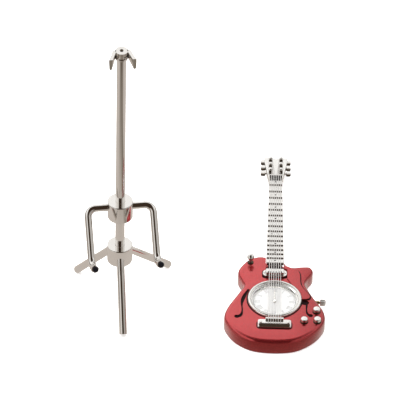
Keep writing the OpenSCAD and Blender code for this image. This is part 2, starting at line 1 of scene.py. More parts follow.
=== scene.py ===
"""Miniature guitar clock lying beside its chrome tripod stand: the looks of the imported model.

Lengths in this script are millimetres in the two pieces' own frames, and metres once they are meshes.
Guitar frame: x across, y from the tail to the head, z from the back to the face.
Stand frame: z up the pole, -y the side that the yoke and the arms face.
"""
import json
import math
import bmesh
import bpy
from mathutils import Matrix, Vector


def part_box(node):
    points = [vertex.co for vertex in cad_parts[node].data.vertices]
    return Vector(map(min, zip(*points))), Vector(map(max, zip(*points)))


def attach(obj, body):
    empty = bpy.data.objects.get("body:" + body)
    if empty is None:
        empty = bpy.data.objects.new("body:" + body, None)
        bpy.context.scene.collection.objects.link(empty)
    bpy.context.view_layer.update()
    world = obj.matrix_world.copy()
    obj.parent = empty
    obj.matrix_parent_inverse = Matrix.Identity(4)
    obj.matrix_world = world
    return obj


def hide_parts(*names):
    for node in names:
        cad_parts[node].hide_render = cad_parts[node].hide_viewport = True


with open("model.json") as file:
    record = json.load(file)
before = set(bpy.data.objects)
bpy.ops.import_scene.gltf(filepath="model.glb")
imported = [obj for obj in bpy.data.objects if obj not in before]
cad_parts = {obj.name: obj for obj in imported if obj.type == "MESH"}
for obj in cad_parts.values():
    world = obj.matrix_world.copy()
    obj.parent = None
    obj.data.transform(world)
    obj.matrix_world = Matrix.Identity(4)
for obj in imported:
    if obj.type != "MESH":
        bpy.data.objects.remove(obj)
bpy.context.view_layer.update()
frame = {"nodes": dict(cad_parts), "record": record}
NODES = frame["nodes"]
MM = 0.001


def middle(node):
    """The middle of a CAD node's box, in millimetres."""
    low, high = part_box(node)
    return (Vector(low) + Vector(high)) / 2 / MM


def top_of(node):
    """The height of the top of a CAD node, in millimetres."""
    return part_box(node)[1][2] / MM


CLOCK_Y = 30.3
POLE = middle("pole")
DIAL = middle("bezel")
STAND = Matrix.Translation((POLE.x, POLE.y, 0)) @ Matrix.Rotation(math.radians(6.5), 4, "Z")
GUITAR = Matrix.Translation((DIAL.x, DIAL.y - CLOCK_Y, 0))
CLOCK = Matrix.Translation((DIAL.x, DIAL.y, 0))

# ---- camera and light


def in_scene(name, data):
    """A new object in the scene."""
    obj = bpy.data.objects.new(name, data)
    bpy.context.scene.collection.objects.link(obj)
    return obj


# Colours that polished metal sees round it: overhead, at the sides, low down and on the table.
CEILING = (1.13, 1.12, 1.10)
CEILING_RIGHT = (0.95, 0.94, 0.92)
WALL_LEFT = (0.85, 0.82, 0.78)
WALL_RIGHT = (0.46, 0.43, 0.40)
FLANK_RIGHT = (0.12, 0.11, 0.10)
FLANK_LEFT = (0.34, 0.32, 0.30)
RIM = (0.10, 0.085, 0.075)
FIGURE = (0.045, 0.028, 0.018)
TABLE_WARM = (0.63, 0.57, 0.52)
TABLE_BACK = (0.92, 0.90, 0.88)
TABLE_DARK = (0.25, 0.215, 0.175)
FLOOR_GLOW = 0.45         # keeps the table top white
FLOOR_HALF = 4            # metres

CAMERA_UP = 41.0          # degrees above the table
CAMERA_FAR = 2250.0
CAMERA_ROLL = 1.5
CAMERA_LENS = 389.4
LOOK_AT = Vector((4.16, 36.95, 0))


def make_camera():
    """A long lens looking down at the two pieces from the guitar's tail."""
    data = bpy.data.cameras.new("camera")
    data.lens = CAMERA_LENS
    data.sensor_width = 36
    data.clip_end = 20
    up = math.radians(CAMERA_UP)
    place = LOOK_AT + CAMERA_FAR * Vector((0, -math.cos(up), math.sin(up)))
    tilt = Matrix.Rotation(math.radians(90 - CAMERA_UP), 4, "X")
    roll = Matrix.Rotation(math.radians(CAMERA_ROLL), 4, "Z")
    camera = in_scene("camera", data)
    camera.matrix_world = Matrix.Translation(place * MM) @ tilt @ roll
    bpy.context.scene.camera = camera


def area_light(name, at, size, watts):
    """A soft box at a point in metres, facing the middle of the table."""
    data = bpy.data.lights.new(name, "AREA")
    data.shape = "RECTANGLE"
    data.size, data.size_y = size
    data.energy = watts
    light = in_scene(name, data)
    light.location = at
    light.rotation_euler = (Vector((0, 0, 0.03)) - Vector(at)).to_track_quat("-Z", "Y").to_euler()
    light.visible_glossy = False


class Sums:
    """Builds sums and smooth steps out of a node tree's math nodes."""

    def __init__(self, tree):
        self.tree = tree

    def new(self, kind):
        return self.tree.nodes.new(kind)

    def put(self, value, socket):
        """Sets a socket from a number, or links it from an output."""
        if isinstance(value, (int, float)):
            socket.default_value = value
        else:
            self.tree.links.new(value, socket)

    def do(self, operation, *values):
        node = self.new("ShaderNodeMath")
        node.operation = operation
        for value, socket in zip(values, node.inputs):
            self.put(value, socket)
        return node.outputs[0]

    def step(self, value, start, stop):
        """0 before start to 1 after stop, smoothly; start may be the larger."""
        node = self.new("ShaderNodeMapRange")
        node.interpolation_type = "SMOOTHSTEP"
        flip = start > stop
        node.inputs["From Min"].default_value = min(start, stop)
        node.inputs["From Max"].default_value = max(start, stop)
        node.inputs["To Min"].default_value = 1.0 if flip else 0.0
        node.inputs["To Max"].default_value = 0.0 if flip else 1.0
        self.put(value, node.inputs["Value"])
        return node.outputs["Result"]

    def mix(self, share, a, b):
        """The colour a turning into b; each is three numbers or an output."""
        node = self.new("ShaderNodeMix")
        node.data_type = "RGBA"
        self.put(share, node.inputs["Factor"])
        for value, socket in ((a, node.inputs["A"]), (b, node.inputs["B"])):
            if isinstance(value, tuple):
                socket.default_value = (*value, 1)
            else:
                self.tree.links.new(value, socket)
        return node.outputs["Result"]

    def xyz(self, source):
        node = self.new("ShaderNodeSeparateXYZ")
        self.tree.links.new(source, node.inputs[0])
        return node.outputs


def make_world():
    """A studio, white overhead and behind, greyer at the right, with a dark strip from the front to the top.

    The limits are directions seen from the table: x to the right, y away from the camera, z up.
    """
    world = bpy.data.worlds.new("studio")
    bpy.context.scene.world = world
    world.use_nodes = True
    tree = world.node_tree
    tree.nodes.clear()
    sums = Sums(tree)
    do, step, mix = sums.do, sums.step, sums.mix
    x, y, z = sums.xyz(sums.new("ShaderNodeTexCoord").outputs["Generated"])
    sky = mix(step(x, -0.10, 0.25), WALL_LEFT, WALL_RIGHT)
    back = step(do("ADD", do("MULTIPLY", y, 0.9), z), -0.05, 0.75)
    sky = mix(back, sky, mix(step(x, -0.12, 0.16), CEILING, CEILING_RIGHT))
    flank = do("MULTIPLY", step(z, 0.34, 0.14), step(y, 0.0, 0.2))
    sky = mix(do("MULTIPLY", flank, step(x, 0.30, 0.50)), sky, FLANK_RIGHT)
    sky = mix(do("MULTIPLY", flank, step(x, -0.30, -0.50)), sky, FLANK_LEFT)
    low = do("SUBTRACT", z, do("MULTIPLY", step(x, -0.5, -0.8), 0.14))
    sky = mix(do("MULTIPLY", step(low, 0.18, 0.08), step(y, -0.45, -0.25)), sky, RIM)
    spread = do("SUBTRACT", do("ABSOLUTE", x), do("MULTIPLY", step(z, 0.72, 0.92), 0.3))
    ahead = do("SUBTRACT", y, do("MULTIPLY", z, 0.45))
    strip = do("MULTIPLY", step(spread, 0.50, 0.36), step(ahead, 0.08, -0.10))
    ground = sums.new("ShaderNodeBackground")
    ground.inputs["Strength"].default_value = 1.0
    tree.links.new(mix(strip, sky, FIGURE), ground.inputs["Color"])
    out = sums.new("ShaderNodeOutputWorld")
    tree.links.new(ground.outputs[0], out.inputs[0])


# ---- materials


def new_material(name):
    """A material with its Principled shader, and a function that adds a node to it."""
    material = bpy.data.materials.new(name)
    material.use_nodes = True
    tree = material.node_tree
    shader = tree.nodes["Principled BSDF"]

    def add(kind, **inputs):
        node = tree.nodes.new(kind)
        for key, value in inputs.items():
            node.inputs[key.replace("_", " ")].default_value = value
        return node

    return material, shader, add, tree.links.new


def ranged(add, link, source, low, high):
    """source, from 0 to 1, spread between low and high."""
    node = add("ShaderNodeMapRange")
    node.inputs["To Min"].default_value = low
    node.inputs["To Max"].default_value = high
    link(source, node.inputs["Value"])
    return node.outputs["Result"]


def object_noise(add, link, scale, detail=3.0, stretch=(1, 1, 1)):
    """Noise fixed to the object, scale in blobs per metre."""
    where = add("ShaderNodeTexCoord")
    mapping = add("ShaderNodeMapping")
    mapping.inputs["Scale"].default_value = stretch
    link(where.outputs["Object"], mapping.inputs["Vector"])
    noise = add("ShaderNodeTexNoise", Scale=scale, Detail=detail)
    link(mapping.outputs[0], noise.inputs["Vector"])
    return noise.outputs["Fac"]


def bump(add, link, shader, source, depth):
    """Relief of a depth in metres from source."""
    node = add("ShaderNodeBump", Strength=1.0, Distance=depth)
    link(source, node.inputs["Height"])
    link(node.outputs[0], shader.inputs["Normal"])


def two_tone(link, shader, source, dark, light):
    """The base colour wanders between two tones as source does."""
    link(Sums(shader.id_data).mix(source, dark, light), shader.inputs["Base Color"])


def metal(name, dark, light, rough, wander=60, relief=2e-6, stretch=(1, 1, 1)):
    """Plated or bare metal whose tone and polish wander a little."""
    material, shader, add, link = new_material(name)
    shader.inputs["Metallic"].default_value = 1.0
    two_tone(link, shader, object_noise(add, link, wander, 4.0, stretch), dark, light)
    fine = object_noise(add, link, wander * 8, 2.0, stretch)
    link(ranged(add, link, fine, *rough), shader.inputs["Roughness"])
    bump(add, link, shader, object_noise(add, link, wander * 3, 2.0, stretch), relief)
    return material


def red_lacquer():
    """Clear gloss over translucent red over fine aluminium flake, with painted shade: the red darkens towards
    the tail and the right side.
    """
    material, shader, add, link = new_material("red_lacquer")
    shader.inputs["Metallic"].default_value = 0.85
    shader.inputs["Coat Weight"].default_value = 1.0
    shader.inputs["Coat Roughness"].default_value = 0.02
    shader.inputs["Coat IOR"].default_value = 1.5
    where = add("ShaderNodeTexCoord")
    flake = add("ShaderNodeTexVoronoi", Scale=5200.0)
    link(where.outputs["Object"], flake.inputs["Vector"])
    shade = add("ShaderNodeSeparateColor")
    link(flake.outputs["Color"], shade.inputs[0])
    sums = Sums(material.node_tree)
    speck = sums.mix(shade.outputs[0], (0.42, 0.032, 0.037), (0.62, 0.056, 0.062))
    shaded_red = sums.mix(shade.outputs[0], (0.28, 0.012, 0.015), (0.43, 0.022, 0.027))
    x, y, z = sums.xyz(where.outputs["Object"])
    # Painted shade: the red turns darker towards the tail and towards the right side.
    tail = sums.do("MULTIPLY", sums.step(y, (DIAL.y - 14) * MM, (DIAL.y - 32) * MM), 0.5)
    side = sums.step(x, (DIAL.x - 1) * MM, (DIAL.x + 24) * MM)
    link(sums.mix(sums.do("MAXIMUM", tail, side), speck, shaded_red), shader.inputs["Base Color"])
    link(ranged(add, link, shade.outputs[1], 0.12, 0.24), shader.inputs["Roughness"])
    bump(add, link, shader, object_noise(add, link, 90, 2.0), 6e-6)
    return material


def satin(name, dark, light, rough, wander=300, relief=4e-6, shine=0.5):
    """Paint, print or moulded plastic with a fine grain."""
    material, shader, add, link = new_material(name)
    shader.inputs["Specular IOR Level"].default_value = shine
    two_tone(link, shader, object_noise(add, link, wander, 4.0), dark, light)
    link(ranged(add, link, object_noise(add, link, wander * 4, 2.0), *rough), shader.inputs["Roughness"])
    bump(add, link, shader, object_noise(add, link, wander * 6, 2.0), relief)
    return material


def sunburst_dial():
    """Silver-white dial, brushed outwards from the middle."""
    material, shader, add, link = new_material("dial_paper")
    shader.inputs["Metallic"].default_value = 0.25
    sums = Sums(material.node_tree)
    x, y, z = sums.xyz(add("ShaderNodeTexCoord").outputs["Object"])
    angle = sums.do("ARCTAN2", sums.do("SUBTRACT", y, DIAL.y * MM), sums.do("SUBTRACT", x, DIAL.x * MM))
    rays = add("ShaderNodeTexNoise", Scale=40.0, Detail=3.0)
    rays.noise_dimensions = "1D"
    link(angle, rays.inputs["W"])
    two_tone(link, shader, rays.outputs["Fac"], (0.80, 0.80, 0.79), (0.95, 0.95, 0.94))
    link(ranged(add, link, rays.outputs["Fac"], 0.30, 0.50), shader.inputs["Roughness"])
    return material


def clear_glass():
    """The clock's lens: thin clear plastic, faintly uneven."""
    material, shader, add, link = new_material("lens_glass")
    shader.inputs["Base Color"].default_value = (1, 1, 1, 1)
    shader.inputs["Transmission Weight"].default_value = 1.0
    shader.inputs["IOR"].default_value = 1.45
    link(ranged(add, link, object_noise(add, link, 200, 2.0), 0.0, 0.02), shader.inputs["Roughness"])
    return material


def floor_material():
    """A white table top; what polished metal sees of it is its own warm grey, darker towards the front."""
    material, shader, add, link = new_material("floor")
    shader.inputs["Roughness"].default_value = 0.9
    shader.inputs["Emission Color"].default_value = (1, 1, 1, 1)
    shader.inputs["Emission Strength"].default_value = FLOOR_GLOW
    two_tone(link, shader, object_noise(add, link, 25, 3.0), (0.93, 0.93, 0.93), (0.96, 0.96, 0.96))
    sums = Sums(material.node_tree)
    do, step, mix = sums.do, sums.step, sums.mix
    x, y, z = sums.xyz(add("ShaderNodeTexCoord").outputs["Object"])
    warm = mix(step(y, 0.0, 0.30), TABLE_WARM, TABLE_BACK)
    across = do("ADD", x, -POLE.x * MM - 0.02)
    ahead = do("ADD", y, -POLE.y * MM + 0.25)
    away = do("SQRT", do("ADD", do("MULTIPLY", across, across), do("MULTIPLY", ahead, ahead)))
    warm = mix(step(away, 0.24, 0.06), warm, TABLE_DARK)
    aside = do("ABSOLUTE", do("SUBTRACT", x, DIAL.x * MM))
    warm = mix(do("MULTIPLY", step(aside, 0.05, 0.02), step(y, -0.05, -0.075)), warm, TABLE_DARK)
    warm = mix(step(y, -0.21, -0.34), warm, FIGURE)
    glow = add("ShaderNodeEmission")
    link(warm, glow.inputs["Color"])
    ray = add("ShaderNodeLightPath")
    both = add("ShaderNodeMixShader")
    link(ray.outputs["Is Glossy Ray"], both.inputs[0])
    link(shader.outputs[0], both.inputs[1])
    link(glow.outputs[0], both.inputs[2])
    out = material.node_tree.nodes["Material Output"]
    link(both.outputs[0], out.inputs["Surface"])
    return material


# Dark and light tone, range of roughness, and where they differ: blobs per metre, relief, stretch or shine.
METALS = {
    "chrome_stand": ((0.74, 0.72, 0.69), (0.86, 0.84, 0.82), (0.04, 0.11)),
    "silver_cast": ((0.83, 0.82, 0.80), (0.95, 0.94, 0.92), (0.13, 0.24), 120, 5e-6),
    "string_steel": ((0.86, 0.85, 0.84), (0.97, 0.96, 0.95), (0.28, 0.40), 400),
    "brushed_back": ((0.50, 0.50, 0.50), (0.66, 0.66, 0.65), (0.28, 0.42), 300, 6e-6, (1, 30, 1)),
    "brass_gear": ((0.60, 0.44, 0.18), (0.78, 0.60, 0.30), (0.15, 0.30), 200),
    # screw_black is dark brown: the real black of the screws and washers, and the painted shade under the
    # tuner buttons.
    "screw_black": ((0.055, 0.042, 0.030), (0.12, 0.095, 0.07), (0.22, 0.40), 400),
}
SATINS = {
    "plug_rubber": ((0.003, 0.003, 0.005), (0.007, 0.007, 0.011), (0.40, 0.60), 500, 8e-6, 0.25),
    "slot_black": ((0.004, 0.001, 0.001), (0.012, 0.002, 0.003), (0.5, 0.7), 600, 5e-6, 0.15),
    "numeral_ink": ((0.56, 0.56, 0.56), (0.66, 0.66, 0.66), (0.30, 0.45), 900, 1e-6),
    "movement_plastic": ((0.02, 0.02, 0.02), (0.04, 0.04, 0.04), (0.45, 0.65)),
}
MATERIALS = {name: metal(name, *look) for name, look in METALS.items()}
MATERIALS.update({name: satin(name, *look) for name, look in SATINS.items()})
MATERIALS.update(red_lacquer=red_lacquer(), dial_paper=sunburst_dial(), lens_glass=clear_glass())

# ---- shapes

AXIS = 0.001              # the radius that stands for the middle of a turned part


def mesh_of(name, part, place, merge=False):
    """A mesh of a (verts, faces) pair in millimetres, put in place, its faces turned outwards."""
    mesh = bpy.data.meshes.new(name)
    mesh.from_pydata([(place @ Vector(v)) * MM for v in part[0]], [], part[1])
    work = bmesh.new()
    work.from_mesh(mesh)
    if merge:
        bmesh.ops.remove_doubles(work, verts=work.verts, dist=1e-7)
    bmesh.ops.recalc_face_normals(work, faces=work.faces)
    work.to_mesh(mesh)
    work.free()
    return mesh


def piece(name, part, place, slot, body, replaces=(), bevel=0.0, sharp=38.0):
    """A finished piece of the object, from a part in the frame that place turns into the table's."""
    obj = in_scene(name, mesh_of(name, part, place, merge=True))
    finish_piece(obj, slot, body, replaces, bevel, sharp)


def fitting(name, part, replaces=(), slot="silver_cast", bevel=0.0, sharp=38.0, place=GUITAR):
    """A finished piece fixed to the guitar, from a part in the guitar's or the clock's frame."""
    piece(name, part, place, slot, "guitar", replaces, bevel, sharp)


def finish_piece(obj, slot, body, replaces=(), bevel=0.0, sharp=38.0):
    """Shading, material, bevel and body of a piece."""
    for face in obj.data.polygons:
        face.use_smooth = True
    if bevel:
        edge = obj.modifiers.new("bevel", "BEVEL")
        edge.width = bevel * MM
        edge.segments = 3
        edge.limit_method = "ANGLE"
        edge.angle_limit = math.radians(sharp)
        edge.harden_normals = True
    else:
        obj.data.set_sharp_from_angle(angle=math.radians(sharp))
    obj.data.materials.clear()
    obj.data.materials.append(MATERIALS[slot])
    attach(obj, body)
    if replaces:
        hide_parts(*replaces)


def joined(*parts):
    """Several (verts, faces) lists as one."""
    verts, faces = [], []
    for v, f in parts:
        base = len(verts)
        verts += [tuple(p) for p in v]
        faces += [tuple(i + base for i in face) for face in f]
    return verts, faces


def moved(part, matrix):
    """A (verts, faces) pair through a matrix."""
    return [matrix @ Vector(v) for v in part[0]], part[1]


def set_at(part, x, y, z=0):
    """A part moved to a point."""
    return moved(part, Matrix.Translation((x, y, z)))


def skin(rows, count, closed=False):
    """Faces over rows of count points: on from the last row to the first, or with both ends capped."""
    faces = []
    for k in range(rows if closed else rows - 1):
        low, high = k * count, (k + 1) % rows * count
        faces += [(low + i, low + (i + 1) % count, high + (i + 1) % count, high + i) for i in range(count)]
    if not closed:
        faces += [tuple(reversed(range(count))), tuple(range((rows - 1) * count, rows * count))]
    return faces


def turned(profile, count):
    """The points of (radius, z) pairs turned about z, row by row."""
    turns = [2 * math.pi * i / count for i in range(count)]
    return [(r * math.cos(a), r * math.sin(a), z) for r, z in profile for a in turns]


def lathe(profile, count=64):
    """A solid of revolution about z from (radius, z) pairs that run from its foot to its head."""
    return turned(profile, count), skin(len(profile), count)


def ring(profile, count=96):
    """A ring of revolution about z from a closed (radius, z) outline."""
    return turned(profile, count), skin(len(profile), count, closed=True)


def rounded(points, radii, steps=4):
    """Open (x, y) outline whose corners are rounded: radii gives each inner corner's cut."""
    out = [points[0]]
    for i in range(1, len(points) - 1):
        before, here, after = (Vector(points[k]) for k in (i - 1, i, i + 1))
        r = radii[i - 1] if isinstance(radii, (list, tuple)) else radii
        a = here + (before - here).normalized() * min(r, (before - here).length * 0.49)
        b = here + (after - here).normalized() * min(r, (after - here).length * 0.49)
        for s in range(steps + 1):
            t = s / steps
            out.append(tuple((1 - t) ** 2 * a + 2 * t * (1 - t) * here + t * t * b))
    out.append(points[-1])
    return out


def pin(foot, head, edge, steps=4, count=32, dome=0.0):
    """A turned pin between two (radius, z) rims, softened; dome is the rise in the middle of its head."""
    return lathe(rounded([(AXIS, foot[1]), foot, head, (AXIS, head[1] + dome)], edge, steps), count)


def rod(r, z0, z1, edge, count=32):
    """A round bar with softened ends."""
    return pin((r, z0), (r, z1), edge, count=count)


def along(a, b):
    """The matrix that lays +z from a to b."""
    a, b = Vector(a), Vector(b)
    return Matrix.Translation(a) @ (b - a).to_track_quat("Z", "Y").to_matrix().to_4x4()


def sweep(path, radius, count=32, ends=0.25):
    """A round tube along a list of points, its ends softened."""
    path = [Vector(p) for p in path]
    last = len(path) - 1
    tangents = [(path[min(i + 1, last)] - path[max(i - 1, 0)]).normalized() for i in range(last + 1)]
    soft = [(0, radius - ends), (ends * 0.3, radius - ends * 0.3), (ends, radius)]
    rows = [(path[0] + tangents[0] * d, tangents[0], r) for d, r in soft]
    rows += [(p, t, radius) for p, t in zip(path[1:-1], tangents[1:-1])]
    rows += [(path[-1] - tangents[-1] * d, tangents[-1], r) for d, r in reversed(soft)]
    side = tangents[0].orthogonal().normalized()
    verts = []
    for p, t, r in rows:
        side = (side - t * side.dot(t)).normalized()
        other = t.cross(side)
        for i in range(count):
            a = 2 * math.pi * i / count
            verts.append(p + r * (math.cos(a) * side + math.sin(a) * other))
    return verts, skin(len(rows), count)


def prism(outline, z0, z1):
    """An outline raised from z0 to z1."""
    n = len(outline)
    verts = [(x, y, z0) for x, y in outline] + [(x, y, z1) for x, y in outline]
    faces = [tuple(reversed(range(n))), tuple(range(n, 2 * n))]
    faces += [(i, (i + 1) % n, n + (i + 1) % n, n + i) for i in range(n)]
    return verts, faces


def block(low, high):
    """A box between two corners."""
    (x0, y0, z0), (x1, y1, z1) = low, high
    return prism([(x0, y0), (x1, y0), (x1, y1), (x0, y1)], z0, z1)


def spline(knots, steps, closed=True):
    """A smooth curve through knots, of any number of dimensions."""
    n = len(knots)
    spans = n if closed else n - 1
    out = []

    def at(i):
        return Vector(knots[i % n]) if closed else Vector(knots[max(0, min(n - 1, i))])

    for i in range(spans):
        p0, p1, p2, p3 = at(i - 1), at(i), at(i + 1), at(i + 2)
        for s in range(steps):
            t = s / steps
            out.append(0.5 * (2 * p1 + (p2 - p0) * t + (2 * p0 - 5 * p1 + 4 * p2 - p3) * t * t
                              + (3 * p1 - p0 - 3 * p2 + p3) * t ** 3))
    if not closed:
        out.append(at(n - 1))
    return out


def inset(outline, d):
    """A closed outline drawn in by d."""
    n = len(outline)
    out = []
    for i in range(n):
        a, b = Vector(outline[(i - 2) % n]), Vector(outline[(i + 2) % n])
        t = (b - a).normalized()
        out.append((outline[i][0] - t.y * d, outline[i][1] + t.x * d))
    return out


def rings_solid(rings):
    """A solid through closed rings of equal length, each a list of (x, y, z)."""
    return [v for r in rings for v in r], skin(len(rings), len(rings[0]))


def carve(obj, *cutters):
    """obj less each cutter: a (verts, faces) pair in millimetres and the matrix that places it."""
    for part, place in cutters:
        mesh = mesh_of("cutter", part, place)
        tool = in_scene("cutter", mesh)
        cut = obj.modifiers.new("cut", "BOOLEAN")
        cut.operation = "DIFFERENCE"
        cut.solver = "EXACT"
        cut.object = tool
        graph = bpy.context.evaluated_depsgraph_get()
        result = bpy.data.meshes.new_from_object(obj.evaluated_get(graph))
        obj.modifiers.clear()
        obj.data = result
        bpy.data.objects.remove(tool)
        bpy.data.meshes.remove(mesh)


def raw_object(name, part, place):
    """A mesh object in the scene that isn't finished yet."""
    return in_scene(name, mesh_of(name, part, place))


# ---- stand

POLE_R = 2.3
COLLAR_R = 6.15
COLLAR_H = 9.7
LEG_COLLAR_Z = 24.2
ARM_COLLAR_Z = 52.0
LEG_R = 1.9
POLE_TOP = 153.0
LEG_ROOT_Z = 27.2
LEGS = {"front_leg": (29.0, -91), "right_leg": (32.6, 37.7), "left_leg": (27.5, 134.6)}   # reach, degrees
ARM_R = 1.8
ARM_SPAN = 15.8
ARM_YAW = 2.0
ARM_LIFT = 1.2
ELBOW_R = 4.0
ARM_SLOPE = 45.0
ARM_RUN = 19.3
HOOK_R = 6.0
HOOK_RISE = 35.0
HOOK_LEAN = 7.0
HUB_R = 3.05
HUB_Z = 149.6
HUB_H = 4.8
HUB_FLOOR = 153.3         # the inside of its top, above the pole
PRONG_SPREAD = 5.6
PRONG_REACH = 6.9
PRONG_T = 1.85
# Share of the prong's width across, and of its height below the top, round its section.
PRONG_SECTION = [(-0.5, 0), (0.5, 0), (0.5, 0.35), (0.44, 0.62), (0.42, 0.84), (0.27, 1.0), (-0.27, 1.0),
                 (-0.34, 0.84), (-0.44, 0.62), (-0.5, 0.35)]
YOKE_SCREW_AT = Vector((0, 0, HUB_Z + 2.0))
SCREW_OUT = Vector((math.cos(math.radians(-52)), math.sin(math.radians(-52)), 0))


def make_pole():
    piece("pole_rod", rod(POLE_R, LEG_COLLAR_Z, POLE_TOP, 0.4, 96), STAND, "chrome_stand", "stand", ["pole"])


def collar_profile(z):
    """A collar's section: bored for the pole, its rims softened."""
    bore, top = POLE_R + 0.06, z + COLLAR_H
    outer = rounded([(bore, z), (COLLAR_R, z), (COLLAR_R, top), (bore, top)], 0.45, 6)
    return rounded([(bore, z + 0.3)] + outer[1:-1] + [(bore, top)], 0.12, 2)[1:]


def make_collars():
    """The legs' collar and the arms' collar, each with the hole of its set screw."""
    for node, z, hole, body, place in (("base_collar", LEG_COLLAR_Z, 6.4, "stand", STAND),
                                       ("arm_collar", ARM_COLLAR_Z, COLLAR_H - 2.8, "arms", ARMS)):
        obj = raw_object(node + "_turned", ring(collar_profile(z), 96), STAND)
        carve(obj, (moved(rod(0.82, 0, 8, 0.01, 24), along((0, 1, z + hole), (0, 9, z + hole))), place))
        finish_piece(obj, "chrome_stand", body, [node])


def leg_line(reach, azimuth):
    """A leg's axis, from inside the collar to its foot."""
    tilt = math.atan2(LEG_ROOT_Z - LEG_R * 0.72, reach - COLLAR_R)
    out = Vector((math.cos(math.radians(azimuth)), math.sin(math.radians(azimuth)), 0))
    foot = out * reach + Vector((0, 0, LEG_R * math.cos(tilt)))
    root = foot + (reach - COLLAR_R + 1.8) * (-out + Vector((0, 0, math.tan(tilt))))
    return root, foot


def make_legs():
    for node, (reach, azimuth) in LEGS.items():
        root, foot = leg_line(reach, azimuth)
        part = moved(rod(LEG_R, 0, (foot - root).length, [0.1, 0.35], 64), along(root, foot))
        piece(node + "_rod", part, STAND, "chrome_stand", "stand", [node])


ARMS = STAND @ Matrix.Rotation(math.radians(ARM_YAW), 4, "Z")


def arc(start, along_dir, towards, radius, degrees, steps):
    """Points of a bend from start, heading along_dir and turning towards a centre radius away."""
    centre = start + towards * radius
    out = []
    for i in range(1, steps + 1):
        a = math.radians(degrees) * i / steps
        out.append(centre - towards * radius * math.cos(a) + along_dir * radius * math.sin(a))
    return out


def arm_path(lean):
    """The right arm's axis, and the direction that its end points in, for a sideways lean of the hook."""
    z = ARM_COLLAR_Z + COLLAR_H / 2 + ARM_LIFT
    slope, lean = math.radians(ARM_SLOPE), math.radians(lean)
    across = Vector((1, 0, 0))
    down = Vector((0, -math.cos(slope), -math.sin(slope)))
    rise = Vector((math.sin(lean), -math.sin(slope) * math.cos(lean), math.cos(slope) * math.cos(lean)))
    path = [Vector((3.8, 0, z)), Vector((8, 0, z)), Vector((ARM_SPAN - ELBOW_R, 0, z))]
    path += arc(path[-1], across, down, ELBOW_R, 90, 16)
    run_end = path[-1] + down * ARM_RUN
    path += [path[-1].lerp(run_end, t) for t in (0.25, 0.5, 0.75)] + [run_end]
    turn = ARM_SLOPE + HOOK_RISE
    path += arc(run_end, down, rise, HOOK_R, turn, 16)
    heading = down * math.cos(math.radians(turn)) + rise * math.sin(math.radians(turn))
    path += [path[-1] + heading * 1.4, path[-1] + heading * 2.6]
    return path, heading


def make_arms():
    """Two bent arms, mirror images of each other, each with a plug in the bore of its end."""
    for side, name in ((1, "right"), (-1, "left")):
        path, heading = arm_path(side * HOOK_LEAN)
        at_tip = along(path[-1], path[-1] + heading)
        flip = ARMS @ Matrix.Diagonal((side, 1, 1, 1))
        obj = raw_object(name + "_arm_bent", sweep(path, ARM_R, 40, 0.3), flip)
        carve(obj, (moved(rod(1.05, -2.0, 1.0, 0.01), at_tip), flip))
        finish_piece(obj, "chrome_stand", "arms", [name + "_arm"])
        head = rounded([(0.98, -1.7), (0.98, 0.03), (1.36, 0.03), (1.36, 0.9), (AXIS, 0.95)],
                       [0.05, 0.05, 0.5], 6)
        plug = moved(lathe([(AXIS, -1.7)] + head, 40), at_tip)
        piece(name + "_plug_cap", plug, flip, "plug_rubber", "arms", [name + "_plug"])


def make_yoke():
    """Hub with a turned groove, two splayed wedge prongs, and a set screw with a hexagon socket."""
    top, low = HUB_Z + HUB_H, HUB_Z
    bore, neck = POLE_R + 0.07, HUB_R - 0.5
    screw_line = along(YOKE_SCREW_AT, YOKE_SCREW_AT + SCREW_OUT)
    section = [(bore, low), (HUB_R - 0.1, low), (HUB_R - 0.1, low + 1.0), (neck, low + 1.35),
               (neck, low + 2.7), (HUB_R, low + 3.1), (HUB_R, top), (0.6, top), (0.6, HUB_FLOOR),
               (bore, HUB_FLOOR)]
    hub = raw_object("yoke_hub", ring(section, 96), STAND)
    carve(hub, (moved(rod(0.83, 0, 6, 0.01), screw_line), STAND))
    finish_piece(hub, "chrome_stand", "yoke", ["yoke"], bevel=0.14)
    for side, name in ((1, "right"), (-1, "left")):
        rows = []
        for x, y, high in ((HUB_R + 0.2, 0.6, HUB_H - 0.2), (HUB_R + 0.6, -1.0, HUB_H),
                           (PRONG_SPREAD, -PRONG_REACH, HUB_H + 1.1)):
            rows.append([(side * (x + PRONG_T * share), y, top - high * drop)
                         for share, drop in PRONG_SECTION])
        piece("yoke_prong_" + name, rings_solid(rows), STAND, "chrome_stand", "yoke", bevel=0.12, sharp=40)
    obj = raw_object("yoke_grub", moved(pin((0.8, 2.5), (0.8, 3.5), 0.15, dome=0.05), screw_line), STAND)
    carve(obj, (moved(rod(0.4, 3.0, 5, 0.01, 6), screw_line), STAND))
    finish_piece(obj, "chrome_stand", "yoke", ["yoke_set_screw"])


def make_yoke_screw():
    top = HUB_Z + HUB_H
    head = pin((0.85, top + 0.05), (0.85, top + 0.2), 0.06, dome=0.02)
    obj = raw_object("yoke_screw_head", head, STAND)
    carve(obj, (block((-1.2, -0.14, top + 0.12), (1.2, 0.14, top + 1)), STAND))
    finish_piece(obj, "screw_black", "stand", ["yoke_screw"])


# ---- guitar body

